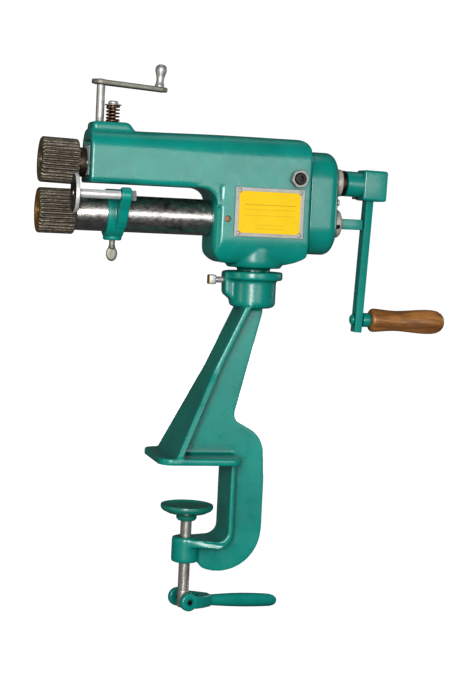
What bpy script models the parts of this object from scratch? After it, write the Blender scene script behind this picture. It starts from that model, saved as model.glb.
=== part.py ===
"""Bench rotary machine (hand-cranked bead roller and crimper) on a C-clamp stand.

Frame: origin where the clamp screw's axis meets the underside of the foot
plate (the face that sits on the bench top), +Z up, the rolls at -X and the
crank at +X, the name plate on the -Y side.  Lengths below are millimetres and
are multiplied by MM where the solids are made, so the model is in metres.
"""
import math

import bmesh
import bpy
from mathutils import Matrix, Vector

MM = 0.001
GAP = 0.3                      # free space between two touching pieces

# ---------------------------------------------------------------- dimensions
# shafts
Z_LOWER = 241.0                # lower shaft axis
Z_UPPER = 283.2                # upper shaft pivot height, 42.2 above the lower
X_PIVOT = 90.7                 # trunnion axis of the upper shaft
TILT = 1.5                     # degrees the upper shaft is lifted at rest
R_SHAFT = 8.0
R_LOWER_SHAFT = 9.0
# rolls and gears
R_ROLL = 22.2
ROLL_LEN = 36.0
X_ROLL = -142.9                # middle of the rolls
ROLL_TEETH = 32
ROLL_TOOTH = 1.8
GEAR_TEETH = 20
GEAR_MODULE = 2.05
X_GEAR, GEAR_LEN = 118.0, 19.0
# head casting
ARM_X0, ARM_X1 = -115.5, 40.0
ARM_HALF = 28.5
ARM_Z0, ARM_Z1 = 269.5, 321.0
HOUSE_X0, HOUSE_X1 = 8.0, 104.0
HOUSE_HALF = 30.5
HOUSE_Z0, HOUSE_Z1 = 197.5, 322.0
COVER_X1 = 135.0
COVER_HALF = 29.0
COVER_Z0, COVER_Z1 = 209.0, 311.3
# swivel post and socket
X_POST = 57.0
R_POST = 16.5
Z_NECK = 193.6                 # underside of the head's boss
Z_SOCKET = 190.0               # top of the stand's socket
# stand
PLATE_X0, PLATE_X1 = -39.0, 44.0
PLATE_HALF = 45.0
PLATE_T = 6.5
SPINE_X = 77.0
WEB_HALF = 5.5
FLANGE_HALF = 26.0
Z_JAW0, Z_JAW1 = -103.6, -78.0
R_JAW = 13.7
# clamp
R_CLAMP_SCREW = 5.8
Z_PAD = -45.0
Z_PIN = -142.3
CLAMP_YAW = 14.0               # degrees the folding lever is turned from +X
CLAMP_DROOP = 4.5
# front block and feed screw
SLOT_HALF = 17.0
BLOCK_HALF = 16.4
BLOCK_X0, BLOCK_X1 = -115.8, -84.0
BLOCK_Z0, BLOCK_Z1 = 276.5, 305.2
X_FEED = -104.3
X_LIFT = -91.6
Z_BOSS = 329.0
Z_FEED_ARM = 366.6

# ------------------------------------------------------------------- scene
for old in list(bpy.data.objects):
    bpy.data.objects.remove(old, do_unlink=True)

ASSEMBLY = bpy.data.collections.new("bench_rotary_machine")
CUTTERS = bpy.data.collections.new("cutters")
bpy.context.scene.collection.children.link(ASSEMBLY)
bpy.context.scene.collection.children.link(CUTTERS)


def paint(name, rgb, rough, metal):
    mat = bpy.data.materials.new(name)
    mat.use_nodes = True
    bsdf = mat.node_tree.nodes["Principled BSDF"]
    bsdf.inputs["Base Color"].default_value = (*rgb, 1.0)
    bsdf.inputs["Roughness"].default_value = rough
    bsdf.inputs["Metallic"].default_value = metal
    return mat


FINISH = {
    "green": ((0.0, 0.22, 0.17), 0.3, 0.0),
    "steel": ((0.62, 0.62, 0.60), 0.3, 1.0),
    "roll": ((0.16, 0.14, 0.12), 0.5, 1.0),
    "black": ((0.02, 0.02, 0.02), 0.4, 0.6),
    "collar": ((0.50, 0.47, 0.42), 0.45, 0.7),
    "bronze": ((0.55, 0.36, 0.15), 0.4, 1.0),
    "plate": ((0.85, 0.60, 0.03), 0.4, 0.0),
    "wood": ((0.33, 0.16, 0.06), 0.5, 0.0),
    "zinc": ((0.70, 0.70, 0.66), 0.3, 1.0),
}
FINISH_OF = {}


def register(obj, coll, finish):
    for c in list(obj.users_collection):
        c.objects.unlink(obj)
    coll.objects.link(obj)
    if coll is CUTTERS:
        obj.hide_render = True
        obj.display_type = "WIRE"
    else:
        rgb, rough, metal = FINISH[finish]
        obj.data.materials.clear()
        obj.data.materials.append(paint("mat_" + obj.name, rgb, rough, metal))
    return obj


def smooth(mesh, angle=35.0):
    mesh.shade_smooth()
    mesh.set_sharp_from_angle(angle=math.radians(angle))


def object_from(bm, name, coll=ASSEMBLY, finish="green"):
    mesh = bpy.data.meshes.new(name)
    bm.to_mesh(mesh)
    bm.free()
    smooth(mesh)
    obj = bpy.data.objects.new(name, mesh)
    return register(obj, coll, finish)


def box(name, x0, x1, y0, y1, z0, z1, coll=CUTTERS, finish="green", bevel=0.0,
        segments=2):
    """A block given by its faces, with optional rounded edges."""
    bm = bmesh.new()
    bmesh.ops.create_cube(bm, size=1.0)
    bmesh.ops.scale(bm, vec=((x1 - x0) * MM, (y1 - y0) * MM, (z1 - z0) * MM),
                    verts=bm.verts)
    obj = object_from(bm, name, coll, finish)
    obj.location = ((x0 + x1) / 2 * MM, (y0 + y1) / 2 * MM, (z0 + z1) / 2 * MM)
    if bevel:
        mod = obj.modifiers.new("Bevel", "BEVEL")
        mod.width = bevel * MM
        mod.segments = segments
        mod.limit_method = "ANGLE"
    return obj


def turn_to(direction):
    """Rotation that carries +Z onto the direction."""
    return Vector((0, 0, 1)).rotation_difference(Vector(direction)).to_euler()


def rod(name, start, end, r, coll=CUTTERS, finish="green", segments=16, r_end=None,
        phase=0.0):
    """A round, conical or many-sided bar from one point to another."""
    start, end = Vector(start), Vector(end)
    bm = bmesh.new()
    bmesh.ops.create_cone(bm, cap_ends=True, cap_tris=False, segments=segments,
                          radius1=r * MM, radius2=(r if r_end is None else r_end) * MM,
                          depth=(end - start).length * MM)
    if phase:
        bmesh.ops.rotate(bm, verts=bm.verts, cent=(0, 0, 0),
                         matrix=Matrix.Rotation(math.radians(phase), 3, "Z"))
    obj = object_from(bm, name, coll, finish)
    obj.location = (start + end) / 2 * MM
    obj.rotation_euler = turn_to(end - start)
    return obj


def turned(name, profile, origin=(0, 0, 0), axis=(0, 0, 1), steps=16,
           coll=ASSEMBLY, finish="steel", closed=False):
    """A lathe-turned piece: (radius, height) pairs run down the outer side."""
    bm = bmesh.new()
    verts = [bm.verts.new((r * MM, 0.0, h * MM)) for r, h in profile]
    for a, b in zip(verts, verts[1:]):
        bm.edges.new((a, b))
    if closed:
        bm.edges.new((verts[-1], verts[0]))
    mesh = bpy.data.meshes.new(name)
    bm.to_mesh(mesh)
    bm.free()
    obj = bpy.data.objects.new(name, mesh)
    mod = obj.modifiers.new("Screw", "SCREW")
    mod.axis = "Z"
    mod.angle = 2 * math.pi
    mod.steps = steps
    mod.render_steps = steps
    mod.use_merge_vertices = True
    mod.merge_threshold = 0.00001
    mod.use_smooth_shade = True
    obj.location = Vector(origin) * MM
    obj.rotation_euler = turn_to(axis)
    return register(obj, coll, finish)


def ring(name, r_out, r_in, length, start, axis, steps=16, coll=ASSEMBLY,
         finish="bronze", chamfer=0.0):
    """A plain ring whose lower face sits at the start point."""
    c = chamfer
    if c:
        profile = [(r_out - c, length), (r_out, length - c), (r_out, c), (r_out - c, 0),
                   (r_in, 0), (r_in, length)]
    else:
        profile = [(r_out, length), (r_out, 0), (r_in, 0), (r_in, length)]
    return turned(name, profile, start, axis, steps, coll, finish, closed=True)


def outline(name, loops, thickness, frame, coll=CUTTERS, finish="green", plain=False):
    """A flat outline (first loop) with holes (the others), thick both ways.

    plain joins each flat end into one face, which a Bevel needs.
    """
    curve = bpy.data.curves.new(name, "CURVE")
    curve.dimensions = "2D"
    curve.fill_mode = "BOTH"
    curve.extrude = thickness / 2 * MM
    for loop in loops:
        spline = curve.splines.new("POLY")
        spline.points.add(len(loop) - 1)
        for point, (u, v) in zip(spline.points, loop):
            point.co = (u * MM, v * MM, 0.0, 1.0)
        spline.use_cyclic_u = True
    tmp = bpy.data.objects.new(name + "_curve", curve)
    bpy.context.scene.collection.objects.link(tmp)
    bpy.context.view_layer.update()
    graph = bpy.context.evaluated_depsgraph_get()
    mesh = bpy.data.meshes.new_from_object(tmp.evaluated_get(graph))
    bpy.data.objects.remove(tmp, do_unlink=True)
    bm = bmesh.new()
    bm.from_mesh(mesh)
    bmesh.ops.remove_doubles(bm, verts=bm.verts, dist=0.000002)
    bmesh.ops.recalc_face_normals(bm, faces=bm.faces)
    if plain:
        ends = [f for f in bm.faces if abs(f.normal.z) > 0.9]
        inside = [e for e in bm.edges
                  if len(e.link_faces) == 2 and all(f in ends for f in e.link_faces)]
        bmesh.ops.dissolve_edges(bm, edges=inside, use_verts=False)
    bpy.data.meshes.remove(mesh)
    obj = object_from(bm, name, coll, finish)
    obj.matrix_world = frame
    return obj


def plane_xz(y=0.0):
    """Outline drawn in X and Z, thick along Y."""
    return Matrix.Translation((0, y * MM, 0)) @ Matrix.Rotation(math.pi / 2, 4, "X")


def plane_yz(x=0.0):
    """Outline drawn in Y and Z, thick along X."""
    turn = Matrix(((0, 0, 1, 0), (1, 0, 0, 0), (0, 1, 0, 0), (0, 0, 0, 1)))
    return Matrix.Translation((x * MM, 0, 0)) @ turn


def plane_xy(z=0.0):
    return Matrix.Translation((0, 0, z * MM))


def arc(cx, cy, rx, ry, a0, a1, n):
    """Points on an ellipse from angle a0 to a1, in degrees."""
    out = []
    for i in range(n + 1):
        a = math.radians(a0 + (a1 - a0) * i / n)
        out.append((cx + rx * math.cos(a), cy + ry * math.sin(a)))
    return out


def circle(cx, cy, r, n=24, start=0.0):
    return [(cx + r * math.cos(2 * math.pi * i / n + math.radians(start)),
             cy + r * math.sin(2 * math.pi * i / n + math.radians(start)))
            for i in range(n)]


def combine(target, operation, *others):
    for other in others:
        mod = target.modifiers.new(operation.title() + "_" + other.name, "BOOLEAN")
        mod.operation = operation
        mod.solver = "EXACT"
        mod.object = other
    return target


def cut(target, *others):
    return combine(target, "DIFFERENCE", *others)


def join(target, *others):
    return combine(target, "UNION", *others)


def attach(empty, *children):
    """Parent objects that were placed in the empty's own coordinates."""
    for child in children:
        child.parent = empty
    return children


def axis_empty(name, location, rotation=(0, 0, 0), parent=None):
    empty = bpy.data.objects.new(name, None)
    empty.location = Vector(location) * MM
    empty.rotation_euler = rotation
    empty.empty_display_size = 0.02
    ASSEMBLY.objects.link(empty)
    if parent is not None:
        empty.parent = parent
    return empty


def tooth_wheel(teeth, r_root, r_tip, root_share, tip_share, phase):
    """Closed outline of a wheel with flat-topped teeth; phase in degrees."""
    pts = []
    step = 360.0 / teeth
    for k in range(teeth):
        mid = phase + k * step
        corners = [(r_root, -root_share), (r_tip, -tip_share), (r_tip, tip_share)]
        if root_share < 0.5:
            corners.append((r_root, root_share))
        for r, off in corners:
            a = math.radians(mid + off * step)
            pts.append((r * math.cos(a), r * math.sin(a)))
    return pts


# ================================================================== STAND
def strut_x(z):
    """Front face of the sloping strut, which leans back as it rises."""
    return 42.0 - 0.458 * (149.0 - z)


web = [(46.0, 155.0), (66.9, 155.0), (67.4, 149.2), (54.9, 96.3), (43.7, 49.0)]
web += arc(52.5, 46.0, 8.8, 9.0, 178, 238, 3)
web += [(52.0, 36.3)]
web += arc(49.0, 6.0, 26.3, 28.5, 66, 4, 5)
web += [(SPINE_X, -20.0), (SPINE_X, -68.0)]
web += arc(33.5, -69.5, 43.2, 43.3, -6, -112, 9)
web += [(14.6, -103.5), (9.0, -101.0), (9.0, -84.0), (28.0, -83.0),
        (37.0, -78.0), (40.5, -68.0), (40.5, 3.0), (strut_x(3.0) + 4.0, 3.0),
        (strut_x(155.0) + 4.0, 155.0)]
stand = outline("stand_casting", [web], 2 * WEB_HALF, plane_xz(), ASSEMBLY, "green")

plate_loop = (arc(PLATE_X0 + 14, -PLATE_HALF + 14, 14, 14, 180, 270, 4)
              + arc(PLATE_X1 - 10, -PLATE_HALF + 10, 10, 10, 270, 360, 3)
              + arc(PLATE_X1 - 10, PLATE_HALF - 10, 10, 10, 0, 90, 3)
              + arc(PLATE_X0 + 14, PLATE_HALF - 14, 14, 14, 90, 180, 4))
foot = outline("foot_plate", [plate_loop], PLATE_T, plane_xy(PLATE_T / 2))


def strut_half(z):
    """Half the strut's width: parallel near the socket, wide at the foot."""
    return 23.0 if z > 93.0 else 23.0 + (93.0 - z) * 0.247


bm = bmesh.new()
bmesh.ops.create_cube(bm, size=1.0)
low = [f for f in bm.faces if f.normal.z < -0.5]
grown = bmesh.ops.extrude_face_region(bm, geom=low)
bmesh.ops.delete(bm, geom=low, context="FACES")
newest = {v for v in grown["geom"] if isinstance(v, bmesh.types.BMVert)}
for v in bm.verts:
    z = 156.2 if v.co.z > 0.2 else (2.0 if v in newest else 93.0)
    x = strut_x(z) + (7.1 if v.co.x > 0 else 0.0)
    y = math.copysign(strut_half(z), v.co.y)
    v.co = (x * MM, y * MM, z * MM)
strut = object_from(bm, "strut_flange", CUTTERS)
mod = strut.modifiers.new("Bevel", "BEVEL")
mod.width = 1.6 * MM
mod.segments = 1
mod.limit_method = "ANGLE"

# inner flange of the C: down the spine, round the corner, out to the jaw
inner = [(37.3, 2.5), (42.3, 2.5), (42.3, -68.0)]
inner += arc(27.0, -71.0, 15.3, 15.3, 0, -90, 4)
inner += [(16.0, -86.8), (6.0, -87.2), (-2.0, -87.2), (-2.0, -79.0), (6.0, -79.0),
          (16.0, -79.4), (24.5, -79.6)]
inner += arc(26.0, -68.3, 11.3, 11.3, -90, 0, 4)
flange = outline("inner_flange", [inner], 2 * FLANGE_HALF, plane_xz())
for v in flange.data.vertices:
    x = v.co.x / MM
    if x < 30.0:
        share = max(0.0, min(1.0, x / 30.0))
        v.co.z *= (R_JAW - 0.8 + (FLANGE_HALF - R_JAW + 0.8) * share ** 0.8) / FLANGE_HALF

jaw = turned("jaw_boss", [(0, Z_JAW1), (R_JAW - 1.5, Z_JAW1), (R_JAW, Z_JAW1 - 1.5),
                          (R_JAW, Z_JAW0 + 2), (R_JAW - 2, Z_JAW0), (0, Z_JAW0)],
             coll=CUTTERS)
socket = turned("post_socket",
                [(0, Z_SOCKET), (28.5, Z_SOCKET), (29.5, Z_SOCKET - 1), (29.5, 182.6),
                 (28.5, 181.6), (23.4, 181.2), (23.4, 159.5), (21.8, 155.2), (17.5, 153.5),
                 (0, 153.5)], origin=(X_POST, 0, 0), coll=CUTTERS, steps=24)
lug = outline("lock_lug", [[(25.8, 189.6), (38.0, 189.6), (38.0, 160.0), (33.6, 161.6),
                            (26.6, 167.2)]], 18.0, plane_xz(), plain=True)
mod = lug.modifiers.new("Bevel", "BEVEL")
mod.width = 2.5 * MM
mod.segments = 2
mod.limit_method = "ANGLE"
join(stand, foot, strut, flange, jaw, socket, lug)
cut(stand,
    rod("post_bore", (X_POST, 0, 157.0), (X_POST, 0, 200.0), R_POST + GAP, segments=24),
    rod("lock_thread", (14.0, 0, 180.37), (46.3, 0, 180.37), 3.63, segments=14, phase=4.0),
    rod("jaw_thread", (0, 0, -120.0), (0, 0, -60.0), R_CLAMP_SCREW + 0.4))

lock_bolt = turned("head_lock_bolt",
                   [(0, 40.1), (2.4, 40.1), (3.2, 39.0), (3.2, 18.0), (0, 18.0)],
                   origin=(0, 0, 180.4), axis=(1, 0, 0), steps=12, finish="zinc")
lock_head = box("lock_head", 10.8, 18.6, -4.7, 4.7, 175.7, 185.1, bevel=0.8, segments=1)
join(lock_bolt, lock_head)

# ------------------------------------------------------------------- clamp
pad = turned("clamp_pad",
             [(0, Z_PAD - 2.4), (21.5, Z_PAD - 1.6), (24.6, Z_PAD), (26.3, Z_PAD - 0.6),
              (26.5, Z_PAD - 3.6), (25.4, Z_PAD - 5.6), (19.5, Z_PAD - 8.8), (11.2, Z_PAD - 10.4),
              (10.3, Z_PAD - 11.4), (10.3, Z_PAD - 14.2), (8.4, Z_PAD - 16.6),
              (R_CLAMP_SCREW + 0.4, Z_PAD - 16.6), (R_CLAMP_SCREW + 0.4, Z_PAD - 8.0),
              (0, Z_PAD - 8.0)], steps=20, finish="green")
clamp_screw = turned("clamp_screw",
                     [(0, Z_PAD - 8.4), (4.8, Z_PAD - 8.4), (R_CLAMP_SCREW, Z_PAD - 9.6),
                      (R_CLAMP_SCREW, -148.2), (4.2, -150.4), (0, -150.4)],
                     steps=16, finish="steel")
yaw = math.radians(CLAMP_YAW)
along = Vector((math.cos(yaw), math.sin(yaw), 0.0))
across = Vector((-math.sin(yaw), math.cos(yaw), 0.0))
pin_mid = Vector((0, 0, Z_PIN))
cut(clamp_screw, rod("pin_bore", pin_mid - across * 20, pin_mid + across * 20, 2.9,
                     segments=12))
handle_pin = rod("handle_pin", pin_mid - across * 16.6, pin_mid + across * 16.6, 2.5,
                 ASSEMBLY, "steel", segments=12)
lever_empty = axis_empty("clamp_lever_axis", (0, 0, Z_PIN),
                         (0, math.radians(CLAMP_DROOP), math.radians(CLAMP_YAW)))
lever_side = [(0.0, 9.4)]
lever_side += arc(0, 0, 9.4, 9.4, 112, 292, 9)
lever_side += [(9.6, -6.2), (19.0, -5.6), (30.0, -6.0), (64.0, -7.3), (96.0, -6.6)]
lever_side += arc(103.5, -0.4, 6.6, 6.2, -75, 75, 5)
lever_side += [(92.0, 6.8), (64.0, 7.1), (32.0, 4.9), (16.0, 5.4), (8.0, 7.6)]
lever = outline("clamp_handle", [lever_side[1:]], 34.0, plane_xz(), ASSEMBLY, "green")
side_cut_top = [(23.0, 30.0), (34.0, 6.6), (60.0, 5.2), (96.0, 4.0), (120.0, 3.6),
                (120.0, 30.0)]
lever_plan = [(-12.0, -17.0), (6.0, -17.0), (17.0, -13.5), (30.0, -6.6), (60.0, -5.6),
              (96.0, -4.6), (112.0, -4.0), (112.0, 4.0), (96.0, 4.6), (60.0, 5.6),
              (30.0, 6.6), (17.0, 13.5), (6.0, 17.0), (-12.0, 17.0)]
lever_keep = outline("lever_plan", [lever_plan], 60.0, plane_xy())
lever_slot = outline("lever_slot", [[(-15.0, -9.4), (7.0, -9.4), (15.5, -5.0), (17.5, 0.0),
                                     (15.5, 5.0), (7.0, 9.4), (-15.0, 9.4)]], 60.0,
                     plane_xy())
lever_eye = rod("lever_eye", (0, -20, 0), (0, 20, 0), 2.9, segments=12)
attach(lever_empty, lever, lever_keep, lever_slot, lever_eye)
combine(lever, "INTERSECT", lever_keep)
cut(lever, lever_slot, lever_eye)

# =================================================================== HEAD
section = ([(-ARM_HALF + 5, ARM_Z0), (ARM_HALF - 5, ARM_Z0)]
           + arc(ARM_HALF - 5, ARM_Z0 + 5, 5, 5, -60, 0, 2)
           + arc(ARM_HALF - 19, 303.5, 19, ARM_Z1 - 303.5, 0, 90, 5)
           + arc(-ARM_HALF + 19, 303.5, 19, ARM_Z1 - 303.5, 90, 180, 5)
           + arc(-ARM_HALF + 5, ARM_Z0 + 5, 5, 5, 180, 240, 2))
head = outline("head_casting", [section], ARM_X1 - ARM_X0,
               plane_yz((ARM_X0 + ARM_X1) / 2), ASSEMBLY, "green")

side = [(HOUSE_X0, 290.0)]
side += arc(HOUSE_X0 + 15, HOUSE_Z0 + 18, 15, 18, 180, 270, 4)
side += [(30.0, HOUSE_Z0), (84.0, HOUSE_Z0), (94.0, 200.5), (101.0, 204.0),
         (HOUSE_X1, 206.6)]
side += arc(HOUSE_X1 - 10.5, HOUSE_Z1 - 10.5, 10.5, 10.5, 0, 90, 4)
side += [(20.0, HOUSE_Z1), (HOUSE_X0, 318.0)]
house = outline("housing_side", [side], 2 * HOUSE_HALF + 20, plane_xz())
front = (arc(HOUSE_HALF - 17, 224.0, 17, 224.0 - HOUSE_Z0 + 0.8, -90, 0, 5)
         + arc(HOUSE_HALF - 21, 301.0, 21, HOUSE_Z1 - 300.2, 0, 90, 5)
         + arc(-HOUSE_HALF + 21, 301.0, 21, HOUSE_Z1 - 300.2, 90, 180, 5)
         + arc(-HOUSE_HALF + 17, 224.0, 17, 224.0 - HOUSE_Z0 + 0.8, 180, 270, 5))
house_front = outline("housing_front", [front], 160.0, plane_yz(60.0))
plan = ([(HOUSE_X1 + 5, HOUSE_HALF + 0.7)]
        + arc(HOUSE_X0 + 12, HOUSE_HALF - 12, 12.4, 12.7, 90, 180, 4)
        + arc(HOUSE_X0 + 12, -HOUSE_HALF + 12, 12.4, 12.7, 180, 270, 4)
        + [(HOUSE_X1 + 5, -HOUSE_HALF - 0.7)])
house_plan = outline("housing_plan", [plan], 200.0, plane_xy(260.0))
combine(house, "INTERSECT", house_front, house_plan)

boss_side = [(-113.5, 300.0), (-113.5, 326.5), (-111.0, Z_BOSS), (-79.5, Z_BOSS),
             (-76.2, 326.8), (-71.5, 320.6), (-66.0, 315.0), (-66.0, 300.0)]
top_boss = outline("top_boss", [boss_side], 34.0, plane_xz(), plain=True)
mod = top_boss.modifiers.new("Bevel", "BEVEL")
mod.width = 4.0 * MM
mod.segments = 2
mod.limit_method = "ANGLE"
mod.angle_limit = math.radians(60)
post = turned("swivel_post",
              [(0, 210.0), (29.5, 210.0), (29.0, 199.0), (27.8, 195.5), (26.6, Z_NECK),
               (R_POST, Z_NECK), (R_POST, 160.0), (R_POST - 2.0, 158.0), (0, 158.0)],
              origin=(X_POST, 0, 0), coll=CUTTERS, steps=24)
join(head, house, top_boss, post)

slot = box("arm_channel", -130.0, -78.0, -SLOT_HALF, SLOT_HALF, 272.0, 310.5)
channel = box("shaft_channel", -90.0, 78.0, -13.3, 13.3, 272.5, 306.0)
rear_pocket = box("trunnion_pocket", 74.0, 120.0, -13.7, 13.7, 266.5, 302.0)
cut(head, slot, channel, rear_pocket,
    rod("sleeve_bore", (-10, 0, Z_LOWER), (50.6, 0, Z_LOWER), 18.3, segments=24),
    rod("lower_bore", (40, 0, Z_LOWER), (120, 0, Z_LOWER), 12.5, segments=16),
    rod("pivot_bore_front", (X_PIVOT, -40, Z_UPPER), (X_PIVOT, -5, Z_UPPER), 6.1, segments=16),
    rod("pivot_bore_rear", (X_PIVOT, 5, Z_UPPER), (X_PIVOT, 40, Z_UPPER), 6.1, segments=16),
    rod("feed_thread", (X_FEED, 0, 300), (X_FEED, 0, 340), 4.6, segments=16),
    rod("lift_bore", (X_LIFT, 0, 300), (X_LIFT, 0, 340), 3.9, segments=16),
    rod("sleeve_set_thread", (20.3, -40, Z_LOWER), (20.3, -10, Z_LOWER), 3.2, segments=12))

sleeve = ring("lower_sleeve", 17.9, 13.4, 175.4, (-125.7, 0, Z_LOWER), (1, 0, 0),
              steps=24, finish="steel", chamfer=0.8)
cut(sleeve, rod("oil_hole", (-115.0, -8.0, Z_LOWER + 10.0), (-115.0, -17.0, Z_LOWER + 20.0),
                1.6, segments=8))
sleeve_screw = rod("sleeve_set_screw", (20.3, -29.6, Z_LOWER), (20.3, -18.3, Z_LOWER), 2.8,
                   ASSEMBLY, "steel", segments=12)

# gear-case cover on the rear of the housing
mid = (COVER_Z0 + COVER_Z1) / 2
end = (COVER_Z1 - COVER_Z0) / 2 - COVER_HALF
case = (arc(0, mid + end, COVER_HALF, COVER_HALF, 0, 180, 14)
        + arc(0, mid - end, COVER_HALF, COVER_HALF, 180, 360, 14))
cover = outline("gear_case_cover", [case], COVER_X1 - 90.0, plane_yz((COVER_X1 + 90.0) / 2),
                ASSEMBLY, "green", plain=True)
bev = cover.modifiers.new("Bevel", "BEVEL")
bev.width = 8.0 * MM
bev.segments = 3
bev.limit_method = "ANGLE"
bev.angle_limit = math.radians(60)
hollow = (arc(0, mid + end, COVER_HALF - 4.6, COVER_HALF - 4.6, 0, 180, 10)
          + arc(0, mid - end, COVER_HALF - 4.6, COVER_HALF - 4.6, 180, 360, 10))
case_hollow = outline("case_hollow", [hollow], 50.0, plane_yz(104.8))
case_face = box("case_face", 80.0, HOUSE_X1 + GAP, -40, 40, 190, 330)
COVER_SCREWS = [(-16.5, 262.0), (16.5, 262.0), (0.0, 301.8), (0.0, 218.6)]
cut(cover, case_face, case_hollow,
    rod("case_upper_hole", (120, 0, 282.2), (150, 0, 282.2), 10.6, segments=16),
    rod("case_lower_hole", (120, 0, Z_LOWER), (150, 0, Z_LOWER), R_LOWER_SHAFT + 0.6,
        segments=16))
for i, (sy, sz) in enumerate(COVER_SCREWS[:2], 1):
    cut(cover, rod("cover_hole_%d" % i, (125, sy, sz), (145, sy, sz), 2.7, segments=10))
    cut(head, rod("cover_thread_%d" % i, (88, sy, sz), (110, sy, sz), 2.6, segments=10))
    turned("cover_screw_%d" % i,
           [(0, 138.0), (2.2, 138.0), (3.6, 136.6), (3.8, 135.3), (2.2, 135.3), (2.2, 90.0),
            (0, 90.0)], origin=(0, sy, sz), axis=(1, 0, 0), steps=12, finish="zinc")

# name plate and its rivets
plate = box("name_plate", 26.9, 97.0, -HOUSE_HALF - 1.3, -HOUSE_HALF - GAP, 224.7, 272.4,
            ASSEMBLY, "plate")
for i, (px, pz) in enumerate(((31.0, 269.2), (92.9, 269.2), (31.0, 227.8), (92.9, 227.8)), 1):
    hole = rod("rivet_hole_%d" % i, (px, -34, pz), (px, -26, pz), 1.5, segments=8)
    cut(plate, hole)
    cut(head, hole)
    turned("plate_rivet_%d" % i,
           [(0, 33.0), (1.6, 32.7), (2.4, 32.1), (1.1, 32.1), (1.1, 27.0), (0, 27.0)],
           origin=(px, 0, pz), axis=(0, -1, 0), steps=8, finish="zinc")

# trunnion screws on the pivot axis, with their lock nuts
for tag, s in (("front", -1), ("rear", 1)):
    turned("trunnion_screw_" + tag,
           [(0, 37.4), (4.6, 37.4), (5.7, 36.6), (5.7, 14.0), (3.4, 13.2), (3.4, 9.8),
            (0, 9.8)], origin=(X_PIVOT, 0, Z_UPPER), axis=(0, s, 0), steps=16,
           finish="black")
    nut = rod("trunnion_nut_" + tag, (X_PIVOT, s * (HOUSE_HALF + GAP), Z_UPPER),
              (X_PIVOT, s * 36.2, Z_UPPER), 8.9, ASSEMBLY, "zinc", segments=6)
    cut(nut, rod("nut_bore_" + tag, (X_PIVOT, s * 25, Z_UPPER), (X_PIVOT, s * 42, Z_UPPER),
                 6.1, segments=16))

# -------------------------------------------------------- front block, feed
block = box("front_bearing_block", BLOCK_X0, BLOCK_X1, -BLOCK_HALF, BLOCK_HALF, BLOCK_Z0,
            BLOCK_Z1, ASSEMBLY, "steel")
x_block = (BLOCK_X0 + BLOCK_X1) / 2
z_block = Z_UPPER + (X_PIVOT - x_block) * math.tan(math.radians(TILT))
cut(block,
    rod("block_bore", (BLOCK_X0 - 5, 0, z_block), (BLOCK_X1 + 5, 0, z_block), 9.4, segments=16),
    rod("lift_thread", (X_LIFT, 0, 299.0), (X_LIFT, 0, 315.0), 3.3, segments=12))
ring("front_bush", 9.1, 7.9, BLOCK_X1 - BLOCK_X0 - 1.0, (BLOCK_X0 + 0.5, 0, z_block),
     (1, 0, 0), finish="bronze")
lift_bolt = turned("lift_bolt",
                   [(0, 349.2), (4.0, 349.2), (4.9, 348.4), (4.9, 346.2), (2.9, 346.2),
                    (2.9, 300.0), (0, 300.0)], origin=(X_LIFT, 0, 0), steps=12,
                   finish="black")
ring("lift_washer", 8.1, 3.3, 1.0, (X_LIFT, 0, 344.9), (0, 0, 1), steps=16, finish="black")
turns, wire = 4.0, 0.85
coil = bpy.data.curves.new("lift_spring", "CURVE")
coil.dimensions = "3D"
coil.bevel_depth = wire * MM
coil.bevel_resolution = 2
coil.use_fill_caps = True
spline = coil.splines.new("POLY")
count = int(turns * 10) + 1
spline.points.add(count - 1)
z_bottom, z_top = Z_BOSS + GAP + wire, 344.9 - GAP - wire
for i, point in enumerate(spline.points):
    a = 2 * math.pi * turns * i / (count - 1)
    z = z_bottom + (z_top - z_bottom) * i / (count - 1)
    point.co = (6.0 * math.cos(a) * MM, 6.0 * math.sin(a) * MM, z * MM, 1.0)
spring = bpy.data.objects.new("lift_spring", coil)
spring.location = (X_LIFT * MM, 0, 0)
register(spring, ASSEMBLY, "black")

feed = turned("adjusting_screw",
              [(0, 364.0), (3.9, 364.0), (4.15, 363.4), (4.15, 308.0), (3.0, BLOCK_Z1 + GAP),
               (0, BLOCK_Z1 + GAP)], origin=(X_FEED, 0, 0), steps=16, finish="zinc")
feed_empty = axis_empty("feed_crank_axis", (X_FEED, 0, Z_FEED_ARM),
                        (0, math.radians(3.5), 0))
crank_plan = (arc(0, 0, 9.2, 9.2, 82, 278, 8) + arc(58.5, 0, 7.2, 7.2, -82, 82, 6))
feed_arm = outline("screw_crank_arm", [crank_plan], 4.6, plane_xy(0.0), ASSEMBLY, "zinc")
feed_knob = turned("screw_knob",
                   [(0, 24.4), (3.0, 23.8), (5.2, 21.6), (5.8, 18.8), (5.2, 15.8), (4.0, 12.4),
                    (3.7, 9.6), (4.1, 6.2), (4.9, 3.6), (4.9, 2.6), (0, 2.6)],
                   origin=(57.5, 0, 0), steps=16, finish="zinc")
attach(feed_empty, feed_arm, feed_knob)
# the arm sits level on the screw's squared end, so its eye is cut flat below
eye_seat = rod("eye_seat", (X_FEED, 0, 340.0), (X_FEED, 0, 364.4), 5.2, segments=16)
cut(feed_arm, eye_seat)

# ------------------------------------------------------- upper shaft line
upper = axis_empty("upper_shaft_axis", (X_PIVOT, 0, Z_UPPER), (0, math.radians(TILT), 0))
XAX = (1, 0, 0)


def u(x):
    """Station along the upper shaft, measured from the pivot."""
    return x - X_PIVOT


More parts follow.
